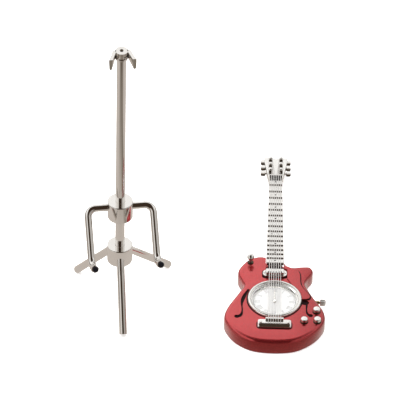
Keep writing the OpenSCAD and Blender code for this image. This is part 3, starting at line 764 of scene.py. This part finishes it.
SIDE_H = 6.9
FACE_Z = 7.9
CASE_R = 11.5
BODY_KNOTS = [
    (-0.5, 0), (10.2, 1.5), (18.6, 7.3), (23.5, 14.5), (24.6, 20.0), (23.2, 25.4), (19.2, 33.0),
    (16.6, 38.4), (15.0, 43.0), (16.0, 46.8), (18.1, 50.4), (18.7, 53.2), (16.8, 55.6), (12.2, 55.4),
    (8.6, 54.9), (6.2, 55.8), (4.9, 57.8), (3.8, 60.2), (-1.5, 61.2), (-7.8, 62.3), (-13.3, 59.5),
    (-17.2, 53.9), (-18.0, 49.4), (-16.3, 44.8), (-15.2, 40.6), (-18.0, 34.8), (-22.8, 25.2),
    (-24.4, 18.6), (-23.3, 13.6), (-18.9, 6.7), (-11.0, 1.4)]
COVER_KNOTS = [
    (0, 3.6), (10, 4.6), (18.4, 10.5), (20.6, 19.0), (17.4, 27.5), (12.8, 36.0), (10.6, 44.0),
    (8.6, 50.0), (1.0, 55.4), (-8.0, 58.0), (-13.4, 52.0), (-12.6, 44.0), (-12.6, 38.0),
    (-18.0, 28.0), (-20.6, 19.0), (-18.0, 10.5), (-10, 4.8)]
# Sound slots: x, y and width along each centre line, and x, y, half width and half height of each round end.
LEFT_SLOT = [(-12.6, 37.4, 1.0), (-13.9, 34.6, 1.5), (-15.0, 31.6, 1.9), (-15.7, 28.8, 1.6),
             (-15.9, 26.2, 0.9), (-15.7, 23.6, 0.7), (-15.7, 21.0, 0.9), (-16.2, 18.9, 1.5),
             (-17.2, 17.8, 1.8), (-18.2, 17.6, 1.7)]
RIGHT_SLOT = [(15.7, 28.2, 1.0), (15.6, 26.0, 0.9), (15.5, 23.4, 0.7), (15.8, 21.2, 1.0), (16.5, 20.0, 1.4),
              (17.4, 19.5, 1.6)]
SLOT_ENDS = [(-18.2, 17.6, 1.3, 1.15), (14.8, 28.6, 2.0, 1.7), (17.5, 19.4, 1.15, 1.1)]
SLOT_DEPTH = 0.6
CROWN_Y = 33.2
CROWN_Z = 4.0
GAP = 0.5                # width of the moat that the body has round each fitting
MOAT_DEPTH = 0.8
# Boxes on the face, as x0, x1, y0, y1.
PICKUP = (-5.9, 5.9, 46.3, 51.0)
PICKUP_SEAT = (-5.75, 5.75, 46.3, 51.0)
TAILPIECE = (-8.2, 8.2, 9.7, 14.2)
TOGGLE = (-12.0, 57.0)
KNOBS = ((20.4, 22.5), (14.4, 15.1), (20.8, 15.4))
BEZEL_IN = 11.4
BEZEL_OUT = 13.2


def slot_outline(line, shrink=0.0):
    """A closed outline along a sound slot's centre line; its round ends are ovals of their own."""
    curve = spline(line, 5, closed=False)
    left, right = [], []
    for i, p in enumerate(curve):
        a, b = curve[max(i - 1, 0)], curve[min(i + 1, len(curve) - 1)]
        t = Vector((b.x - a.x, b.y - a.y)).normalized()
        half = p.z / 2 - shrink
        left.append((p.x - t.y * half, p.y + t.x * half))
        right.append((p.x + t.y * half, p.y - t.x * half))
    return left + right[::-1]


def oval(x, y, across, along_y, count=32):
    """A closed oval outline."""
    turns = [2 * math.pi * i / count for i in range(count)]
    return [(x + across * math.cos(a), y + along_y * math.sin(a)) for a in turns]


def make_body():
    """The body, rounded at the face, less the slots, the clock's hole, the moats and the neck's pocket."""
    outline = spline(BODY_KNOTS, 8)
    levels = [(0.45, 0), (0.12, 0.13), (0, 0.45), (0, 5.9)]
    for i in range(1, 11):
        a = math.radians(90 * i / 10)
        levels.append((1.45 * (1 - math.cos(a)), SIDE_H - 1.0 + 1.9 * math.sin(a)))
    levels += [(1.55, FACE_Z - 0.04), (1.9, FACE_Z)]
    rings = [[(x, y, z) for x, y in inset(outline, d)] for d, z in levels]
    obj = raw_object("body_casting", rings_solid(rings), GUITAR)
    above, moat = FACE_Z + 2, FACE_Z - MOAT_DEPTH
    slots = [slot_outline(LEFT_SLOT), slot_outline(RIGHT_SLOT)] + [oval(*end) for end in SLOT_ENDS]
    cutters = [(prism(outline_of, FACE_Z - SLOT_DEPTH, above), GUITAR) for outline_of in slots]
    case = CASE_R + 0.02
    cutters.append((lathe([(AXIS, 1.3), (case, 1.3), (case, 12), (AXIS, 12)], 96), CLOCK))
    inner, outer = BEZEL_OUT - 0.6, BEZEL_OUT + GAP
    cutters.append((ring([(inner, moat), (outer, moat), (outer, above), (inner, above)], 96), CLOCK))
    cutters.append((prism(round_rect(*grown(PICKUP_SEAT, GAP), 1.3), moat, above), GUITAR))
    cutters.append((prism(round_rect(*grown(TAILPIECE, GAP), 1.6), moat, above), GUITAR))
    cutters.append((prism([(p.x, p.y) for p in spline(COVER_KNOTS, 6)], -1, 0.6), GUITAR))
    cutters.append((block((-4.45, 51.2, 3.0), (4.45, 66, 12)), GUITAR))
    bore = lathe([(AXIS, 0), (0.96, 0), (0.96, 20), (AXIS, 20)], 32)
    cutters.append((moved(bore, along((8, CROWN_Y, CROWN_Z), (28, CROWN_Y, CROWN_Z))), GUITAR))
    carve(obj, *cutters)
    finish_piece(obj, "red_lacquer", "guitar", ["body"], sharp=30)


def make_slot_liners():
    low, high = FACE_Z - SLOT_DEPTH, FACE_Z - SLOT_DEPTH + 0.15
    floors = [prism(slot_outline(line, 0.03), low, high) for line in (LEFT_SLOT, RIGHT_SLOT)]
    for x, y, across, along_y in SLOT_ENDS:
        floors.append(prism(oval(x, y, across - 0.03, along_y - 0.03), low, high + 0.01))
    fitting("slot_floor", joined(*floors), ["slot_liners"], "slot_black")


def make_pick_guard():
    """Raised red plate round the upper right of the clock, over a black strip of painted shadow that shows
    round its edge.
    """
    edge = spline([(6.7, 54.0), (8.5, 53.0), (11.0, 51.7), (12.2, 49.4), (12.5, 46.1), (12.6, 42.7),
                   (13.3, 40.0), (14.9, 37.2), (16.6, 34.5), (17.2, 32.6), (16.5, 31.1), (14.9, 30.5)],
                  5, closed=False)
    outline = [(4.6, 55.2)] + [(p.x, p.y) for p in edge]
    reach = BEZEL_OUT + 0.08
    for i in range(11):
        a = math.radians(1 + 4.9 * i)
        outline.append((reach * math.cos(a), CLOCK_Y + reach * math.sin(a)))
    outline += [(6.0, 45.6), (6.0, 51.8), (4.5, 52.4)]
    # Painted shadow: a black strip a little larger than the plate, so a dark line shows all round its edge.
    shadow_fill = [(x * 1.022 + 0.16, y - (0.32 if y < 33 else 0)) for x, y in outline]
    fitting("pick_guard_shadow_strip", prism(shadow_fill, FACE_Z - 0.02, FACE_Z + 0.16), slot="slot_black")
    plate = prism(outline, FACE_Z, FACE_Z + 0.6)
    fitting("pick_guard_plate", plate, ["pick_guard"], "red_lacquer", bevel=0.28)


# ---- neck and head

BOARD_Z = 9.8
BOARD_Y0 = 55.0
NUT_Y = 118.6
BOARD_W = (8.7, 6.5)
FRETS = 15
TUNER_Y = (127.2, 131.4, 135.6)
STRING_SPAN = (4.5, 6.0)
BRIDGE_Y = 13.7
NECK_Z = 8.0              # the joint of the neck and the fingerboard
NUT_TOP = 11.6
STRING_Z = 11.7           # at the nut
STRING_FALL = 0.48        # from the nut to the bridge
FRET_PITCH = 5.2
FRET_RATIO = 0.962        # each spacing as a share of the one before


def fret_y(n):
    """Distance of a fret from the tail."""
    return NUT_Y - FRET_PITCH * (1 - FRET_RATIO ** n) / (1 - FRET_RATIO)


def board_half(y):
    return BOARD_W[1] / 2 + (BOARD_W[0] - BOARD_W[1]) / 2 * (NUT_Y - y) / (NUT_Y - BOARD_Y0)


def string_x(i, y):
    share = (NUT_Y - y) / (NUT_Y - BRIDGE_Y)
    return (STRING_SPAN[0] + (STRING_SPAN[1] - STRING_SPAN[0]) * share) * (i / 5 - 0.5)


def string_z(y):
    return STRING_Z - STRING_FALL * (NUT_Y - y) / (NUT_Y - BRIDGE_Y)


def make_neck():
    rows = []
    for y in (54.7, 70.0, 90.0, 110.0, NUT_Y + 1.0):
        half = board_half(min(y, NUT_Y)) - (0.8 if y < BOARD_Y0 else 0.25)
        row = [(-half, y, NECK_Z)]
        for i in range(1, 16):
            a = math.pi * i / 16
            row.append((-half * math.cos(a), y, NECK_Z - 1.38 * half * math.sin(a) ** 0.9))
        rows.append(row + [(half, y, NECK_Z)])
    fitting("neck_shaft", rings_solid(rows), ["neck"], bevel=0.1, sharp=50)


def make_fingerboard():
    """The board, its frets and position dots, and the nut with a black slab of painted shade on its front."""
    a, b = BOARD_W[0] / 2, BOARD_W[1] / 2
    outline = [(-a, BOARD_Y0), (a, BOARD_Y0), (b, NUT_Y), (-b, NUT_Y)]
    fitting("fingerboard_plate", prism(outline, NECK_Z, BOARD_Z), ["fingerboard"], bevel=0.42)
    wires, dots = [], []
    for n in range(1, FRETS + 1):
        y = fret_y(n)
        half = board_half(y) - 0.05
        wires.append(block((-half, y + 0.05, BOARD_Z - 0.1), (half, y + 0.5, BOARD_Z + 0.62)))
    fitting("fret_wires", joined(*wires), ["frets"], bevel=0.08)
    dot = pin((0.38, -0.2), (0.38, 0.07), 0.05, 2, 24)
    for n in (1, 3, 5, 7, 10, 12, 14, 16):
        y = (fret_y(n) + fret_y(n - 1)) / 2
        dots += [set_at(dot, x, y, BOARD_Z) for x in ((-1.6, 1.6) if n == 10 else (0.0,))]
    fitting("position_inlays", joined(*dots), ["position_dots"], "slot_black")
    # Painted shade: a thin black slab on the nut's front face.
    face = block((-b + 0.25, NUT_Y + 0.05, 9.9), (b - 0.25, NUT_Y + 0.32, NUT_TOP - 0.25))
    fitting("nut_front_shade", face, slot="slot_black")
    bar = block((-b, NUT_Y + 0.3, NECK_Z + 0.02), (b, NUT_Y + 1.1, NUT_TOP))
    fitting("nut_bar", bar, ["nut"], bevel=0.15)


def make_head():
    right = [(3.3, NUT_Y + 1.1), (3.5, 121.6), (4.1, 124.6), (4.8, 128.5), (5.6, 133.6), (5.85, 136.4),
             (5.4, 137.8), (4.2, 137.9), (2.8, 138.0), (1.4, 137.6), (0, 137.3)]
    curve = [(p.x, p.y) for p in spline(right, 4, closed=False)]
    outline = curve + [(-x, y) for x, y in curve[-2::-1]]
    fitting("head_plate", prism(outline, 4.2, 7.0), ["head"], bevel=0.35)


def make_tuners():
    """Six tuners: post, bush, and a button on a stem, over a dark brown slab of painted shade for the
    button's lower side.
    """
    posts, bushes, buttons, button_shades = [], [], [], []
    post = lathe(rounded([(AXIS, 4.3), (0.62, 4.3), (0.62, 7.0), (0.62, 8.3), (1.15, 8.4), (1.15, 8.9),
                          (AXIS, 9.2)], 0.12, 3), 32)
    bush = lathe(rounded([(0.64, 6.95), (0.95, 6.95), (0.9, 8.0), (0.64, 8.0)], 0.08, 3), 32)
    for y in TUNER_Y:
        for side in (-1, 1):
            posts.append(set_at(post, side * 2.6, y))
            bushes.append(set_at(bush, side * 2.6, y))
            edge = 4.4 + (y - TUNER_Y[0]) * 0.12
            stem = rod(0.42, 0, 6.0 - edge, 0.05, 20)
            buttons.append(moved(stem, along((side * edge, y, 5.4), (side * 6.0, y, 5.4))))
            near, far = sorted((side * 5.15, side * 7.6))
            buttons.append(prism(round_rect(near + 0.1, far - 0.1, y - 1.05, y + 1.05, 0.7), 6.0, 6.6))
            # Painted shade: a dark brown slab under each button stands for its shaded lower side.
            button_shades.append(prism(round_rect(near, far, y - 1.15, y + 1.15, 0.8), 4.6, 6.1))
    fitting("tuner_bushes", joined(*bushes), slot="screw_black")
    fitting("tuner_button_shades", joined(*button_shades), slot="screw_black", bevel=0.25)
    fitting("tuner_shafts", joined(*posts), ["tuner_posts"])
    fitting("tuner_pegs", joined(*buttons), ["tuner_buttons"], bevel=0.15)


def make_strings():
    """Six strings from the tailpiece over the bridge and the nut to their posts."""
    runs = []
    for i in range(6):
        side = -1 if i < 3 else 1
        nut = Vector((string_x(i, NUT_Y), NUT_Y + 0.5, string_z(NUT_Y)))
        bridge = Vector((string_x(i, BRIDGE_Y), BRIDGE_Y, string_z(BRIDGE_Y)))
        tie = Vector((string_x(i, BRIDGE_Y), 11.0, 9.85))
        post = Vector((side * 1.9, TUNER_Y[min(i, 5 - i)] - 0.4, 7.95))
        path = [tie, tie.lerp(bridge, 0.5), bridge, bridge.lerp(nut, 0.01), bridge.lerp(nut, 0.99), nut,
                nut.lerp(post, 0.05), post]
        runs.append(sweep(path, 0.185 - 0.006 * i, 12, 0.05))
    fitting("string_set", joined(*runs), ["strings"], "string_steel")


# ---- hardware on the face


def grown(box, d):
    """A box of x0, x1, y0, y1 made larger by d all round."""
    x0, x1, y0, y1 = box
    return x0 - d, x1 + d, y0 - d, y1 + d


def round_rect(x0, x1, y0, y1, r, steps=6):
    """A closed rectangle outline with round corners."""
    out = []
    corners = ((x1 - r, y0 + r), (x1 - r, y1 - r), (x0 + r, y1 - r), (x0 + r, y0 + r))
    for quarter, (cx, cy) in enumerate(corners):
        for s in range(steps + 1):
            a = math.radians(90 * (quarter - 1) + 90 * s / steps)
            out.append((cx + r * math.cos(a), cy + r * math.sin(a)))
    return out


def make_pickup():
    """The frame, the cover, six pole pieces and two screws."""
    outer = round_rect(*PICKUP, 2.0)
    inner = round_rect(-4.5, 4.5, 47.0, 50.4, 0.5)
    z0, z1 = FACE_Z - MOAT_DEPTH, FACE_Z + 1.0
    levels = ((outer, z0), (outer, z1), (inner, z1), (inner, z0))
    verts = [(x, y, z) for outline, z in levels for x, y in outline]
    fitting("pickup_surround", (verts, skin(4, len(outer), closed=True)), ["pickup_frame"], bevel=0.15)
    top = FACE_Z + 2.45
    fitting("pickup_shell", prism(round_rect(-4.42, 4.42, 47.05, 50.35, 0.5), FACE_Z, top), ["pickup_cover"],
            bevel=0.28)
    pole = pin((0.42, -0.3), (0.42, 0.1), 0.06, 3, 24, dome=0.02)
    poles = [set_at(pole, string_x(i, 48) * 1.12, 47.75, top) for i in range(6)]
    fitting("pickup_poles", joined(*poles), ["pole_pieces"], "slot_black")
    screw = pin((0.42, -0.1), (0.42, 0.18), 0.1, 3, 24, dome=0.07)
    screws = [set_at(screw, x, 48.7, z1) for x in (-5.12, 5.12)]
    fitting("pickup_screw_heads", joined(*screws), ["pickup_screws"])


def make_bridge():
    """The tailpiece, which slopes down to the tail and at its ends, its two studs, and the bridge bar."""
    x0, _, y0, y1 = TAILPIECE
    foot = FACE_Z - MOAT_DEPTH
    ends = [(x0, 0.55), (x0 + 0.2, 0.8), (x0 + 0.7, 0.95), (x0 + 1.3, 1.0)]
    rows = []
    for x, share in ends + [(-x, share) for x, share in reversed(ends)]:
        back, front = y1 - 1.2 * (1 - share), y0 + 1.2 * (1 - share)
        high = 1.9 * share
        row = [(x, back, foot), (x, back, FACE_Z + high - 0.25), (x, back - 0.25, FACE_Z + high)]
        for step in range(9):
            a = math.radians(90 * step / 8)
            y = front + (12.2 - front) * (1 - math.sin(a))
            row.append((x, y, FACE_Z + 0.4 + (high - 0.4) * math.cos(a)))
        rows.append(row + [(x, front, foot)])
    fitting("tailpiece_block", rings_solid(rows), ["tailpiece"], sharp=35)
    stud = pin((0.78, -0.1), (0.78, 0.3), 0.15, 3, dome=0.1)
    studs = [set_at(stud, x, 12.0, FACE_Z + 1.9) for x in (-6.7, 6.7)]
    fitting("tailpiece_stud_heads", joined(*studs), ["tailpiece_studs"])
    bar = block((-4.4, BRIDGE_Y - 0.65, FACE_Z + 1.9), (4.4, BRIDGE_Y + 0.65, FACE_Z + 3.1))
    fitting("bridge_bar", bar, ["bridge"], bevel=0.22)


def make_knobs():
    """Three slightly tapered knobs over black washers."""
    knob = pin((1.72, FACE_Z - 0.5), (1.66, FACE_Z + 2.0), 0.35, 6, 48, dome=0.15)
    washer = pin((2.05, FACE_Z - 0.1), (1.95, FACE_Z + 0.5), 0.12, 3, 48)
    fitting("knob_washers", joined(*[set_at(washer, x, y) for x, y in KNOBS]), slot="screw_black")
    fitting("control_knobs", joined(*[set_at(knob, x, y) for x, y in KNOBS]), ["knobs"])


def make_toggle():
    """The toggle switch, a ball on a short neck, and its black washer."""
    washer = rounded([(AXIS, FACE_Z - 0.05), (1.55, FACE_Z - 0.05), (1.5, FACE_Z + 0.4), (0.62, FACE_Z + 0.5),
                      (AXIS, FACE_Z + 0.5)], 0.12, 3)
    fitting("toggle_collar", set_at(lathe(washer, 40), *TOGGLE), ["toggle_washer"], "screw_black")
    profile = [(AXIS, FACE_Z + 0.4), (0.62, FACE_Z + 0.4), (0.58, 9.8)]
    for i in range(1, 17):
        a = math.radians(-68 + 158 * i / 16)
        profile.append((max(1.8 * math.cos(a), AXIS), 11.4 + 1.7 * math.sin(a)))
    fitting("toggle_ball", set_at(lathe(profile, 40), *TOGGLE), ["toggle_switch"])


def make_shadow_fills():
    """Painted shadow: black fill that half fills the moats round the fittings, and a black block on the floor
    of the neck's pocket.
    """
    low, high, gap = FACE_Z - 0.78, FACE_Z - 0.12, GAP - 0.02
    inner, outer = BEZEL_OUT + 0.02, BEZEL_OUT + gap
    # Painted shadow: black fill in the moat round the bezel.
    shadow_fill = ring([(inner, low), (outer, low), (outer, high), (inner, high)], 96)
    fitting("bezel_shadow_ring", shadow_fill, slot="slot_black", place=CLOCK)
    pickup = round_rect(*grown(PICKUP, gap), 2.0 + gap)
    tail = round_rect(*grown(TAILPIECE, gap), 0.8)
    pocket = round_rect(-4.4, 4.4, 51.25, 55.4, 0.1)
    # Painted shadow: black fill in the moats round the pickup and the tailpiece, and in the neck's pocket.
    parts = prism(pickup, low, high), prism(tail, low, high), prism(pocket, 3.05, 6.4)
    fitting("fitting_shadow_fills", joined(*parts), slot="slot_black")


# ---- clock

DIAL_Z = 6.2
HAND_BORE = 0.45          # clear of the minute arbor


def make_bezel():
    z = FACE_Z
    outline = [(BEZEL_IN, z), (BEZEL_OUT - 0.35, z - 0.75), (BEZEL_OUT, z - 0.75), (BEZEL_OUT, z + 0.55),
               (BEZEL_OUT - 0.12, z + 0.95), (BEZEL_OUT - 0.4, z + 1.22), (BEZEL_OUT - 0.75, z + 1.3),
               (BEZEL_IN + 0.72, z + 1.25), (BEZEL_IN + 0.62, z + 0.75), (BEZEL_IN + 0.5, z + 0.75),
               (BEZEL_IN + 0.38, z + 1.05), (BEZEL_IN + 0.1, z + 0.95), (BEZEL_IN, z + 0.7)]
    fitting("bezel_ring", ring(outline, 128), ["bezel"], sharp=60, place=CLOCK)


def make_rehaut():
    """The sloping ring between the crystal and the dial."""
    outline = [(BEZEL_IN - 0.02, FACE_Z - 0.1), (BEZEL_IN - 0.4, FACE_Z - 0.15), (9.95, DIAL_Z + 0.06),
               (9.95, DIAL_Z), (BEZEL_IN - 0.02, DIAL_Z)]
    fitting("dial_surround", ring(outline, 128), place=CLOCK)


def make_lens():
    """The crystal, domed by 0.2 mm."""
    rim = BEZEL_IN - 0.03
    profile = [(AXIS, FACE_Z + 0.03), (rim, FACE_Z + 0.03), (rim, FACE_Z + 0.55)]
    for i in range(1, 11):
        r = rim * (1 - i / 10)
        profile.append((max(r, AXIS), FACE_Z + 0.55 + 0.2 * (1 - (r / BEZEL_IN) ** 2)))
    fitting("lens_crystal", lathe(profile, 96), ["lens"], "lens_glass", place=CLOCK)


STROKES = {
    "I": [((0, -1), (0, 1))],
    "V": [((-0.36, 1), (0, -1)), ((0.36, 1), (0, -1))],
    "X": [((-0.38, 1), (0.38, -1)), ((0.38, 1), (-0.38, -1))]}
LETTER_W = {"I": 0.5, "V": 1.15, "X": 1.15}
HOURS = ["XII", "I", "II", "III", "IIII", "V", "VI", "VII", "VIII", "IX", "X", "XI"]


def stroke(a, b, width):
    """A flat bar from a to b."""
    a, b = Vector(a), Vector(b)
    t = (b - a).normalized() * width / 2
    side = Vector((-t.y, t.x))
    return prism([a - side, b - side, b + side, a + side], 0, 0.06)


def make_numerals():
    """Twelve hour numerals with serifs, and the minute track round them."""
    bars = []
    half = 1.05
    for hour, letters in enumerate(HOURS):
        turn = Matrix.Rotation(math.radians(-30 * hour), 4, "Z") @ Matrix.Translation((0, 8.2, DIAL_Z))
        width = sum(LETTER_W[c] + 0.12 for c in letters) - 0.12
        x = -width / 2
        for c in letters:
            cx = x + LETTER_W[c] / 2
            for n, ((x0, y0), (x1, y1)) in enumerate(STROKES[c]):
                weight = 0.34 if n == 0 else 0.18
                bars.append(moved(stroke((cx + x0, y0 * half), (cx + x1, y1 * half), weight), turn))
            x += LETTER_W[c] + 0.12
        for y in (-half, half):
            bars.append(moved(stroke((-width / 2 - 0.1, y), (width / 2 + 0.1, y), 0.13), turn))
    for minute in range(60):
        turn = Matrix.Rotation(math.radians(-6 * minute), 4, "Z") @ Matrix.Translation((0, 9.7, DIAL_Z))
        bars.append(moved(stroke((0, -0.22), (0, 0.22), 0.22 if minute % 5 == 0 else 0.10), turn))
    fitting("dial_numerals", joined(*bars), ["numerals"], "numeral_ink", place=CLOCK)
    tracks = []
    low, high = DIAL_Z, DIAL_Z + 0.05
    for r in (9.4, 9.88):
        tracks.append(ring([(r, low), (r + 0.07, low), (r + 0.07, high), (r, high)], 96))
    fitting("dial_track", joined(*tracks), slot="numeral_ink", place=CLOCK)


def hand_blade(length, root, tip, boss, z):
    """A tapered blade and a short tail, both starting clear of the hole in the hand's hub."""
    right = [(root * 0.3, HAND_BORE), (root / 2, length * 0.3), (root / 2, length * 0.55), (tip / 2, length)]
    ahead = [(-right[0][0], HAND_BORE)] + right + [(-x, y) for x, y in right[:0:-1]]
    tail = block((-root * 0.3, -0.6 - boss, z), (root * 0.3, -HAND_BORE, z + 0.2))
    return joined(prism(ahead, z, z + 0.2), tail)


def make_hands():
    """The hour hand has a hole that the minute arbor passes through; the minute hand caps the arbor."""
    boss, z = 1.05, 6.6
    hub = ring([(HAND_BORE, z), (boss, z), (boss, z + 0.18), (boss - 0.1, z + 0.27),
                (HAND_BORE, z + 0.27)], 48)
    piece("hour_hand_blade", joined(hand_blade(5.0, 1.0, 0.3, boss, z), hub), CLOCK, "silver_cast",
          "hour_hand", ["hour_hand"])
    boss, z = 0.85, 7.15
    cap = pin((boss, z), (boss, top_of("minute_arbor") + 0.05), 0.08, 3, 40, dome=0.03)
    piece("minute_hand_blade", joined(hand_blade(7.6, 0.75, 0.2, boss, z), cap), CLOCK, "silver_cast",
          "minute_hand", ["minute_hand"])


def make_crown():
    """Coin-edged crown on its stem."""
    place = GUITAR @ along((22.2, CROWN_Y, CROWN_Z), (24.9, CROWN_Y, CROWN_Z))
    count, teeth = 144, 24
    verts = []
    rows = [(0.6, -0.2, 0), (0.9, -0.15, 0), (0.9, 0, 0), (1.4, 0, 0), (1.7, 0.18, 1), (1.7, 2.3, 1),
            (1.4, 2.6, 0), (1.2, 2.8, 0), (0.6, 2.9, 0)]
    for r, z, ribbed in rows:
        for i in range(count):
            a = 2 * math.pi * i / count
            dip = 0.11 * (0.5 - 0.5 * math.cos(teeth * a)) if ribbed else 0
            verts.append(((r - dip) * math.cos(a), (r - dip) * math.sin(a), z))
    piece("crown_knob", (verts, skin(len(rows), count)), place, "silver_cast", "crown", ["crown"])


# ---- carried-over nodes and the floor


def dress_nodes():
    """Gives each shown CAD node its slot's material."""
    slots = {s["node"]: s["material_slot"] for s in frame["record"]["subparts"]}
    for name, obj in NODES.items():
        if obj.type != "MESH" or obj.hide_render:
            continue
        obj.data.materials.clear()
        obj.data.materials.append(MATERIALS[slots[name]])


def make_floor():
    verts = [(x * FLOOR_HALF, y * FLOOR_HALF, 0) for x, y in ((-1, -1), (1, -1), (1, 1), (-1, 1))]
    mesh = bpy.data.meshes.new("floor")
    mesh.from_pydata(verts, [], [(0, 1, 2, 3)])
    mesh.materials.append(floor_material())
    floor = in_scene("floor", mesh)


make_camera()
make_world()
area_light("overhead", (0.0, 0.25, 1.3), (1.2, 1.2), 26)
area_light("left_box", (-1.2, 0.1, 0.9), (0.9, 0.9), 9)
make_pole()
make_collars()
make_legs()
make_arms()
make_yoke()
make_yoke_screw()
make_body()
make_slot_liners()
make_pick_guard()
make_neck()
make_fingerboard()
make_head()
make_tuners()
make_strings()
make_pickup()
make_shadow_fills()
make_bridge()
make_knobs()
make_toggle()
make_bezel()
make_rehaut()
make_lens()
make_numerals()
make_hands()
make_crown()
dress_nodes()
make_floor()
bpy.context.scene.view_settings.view_transform = "Standard"
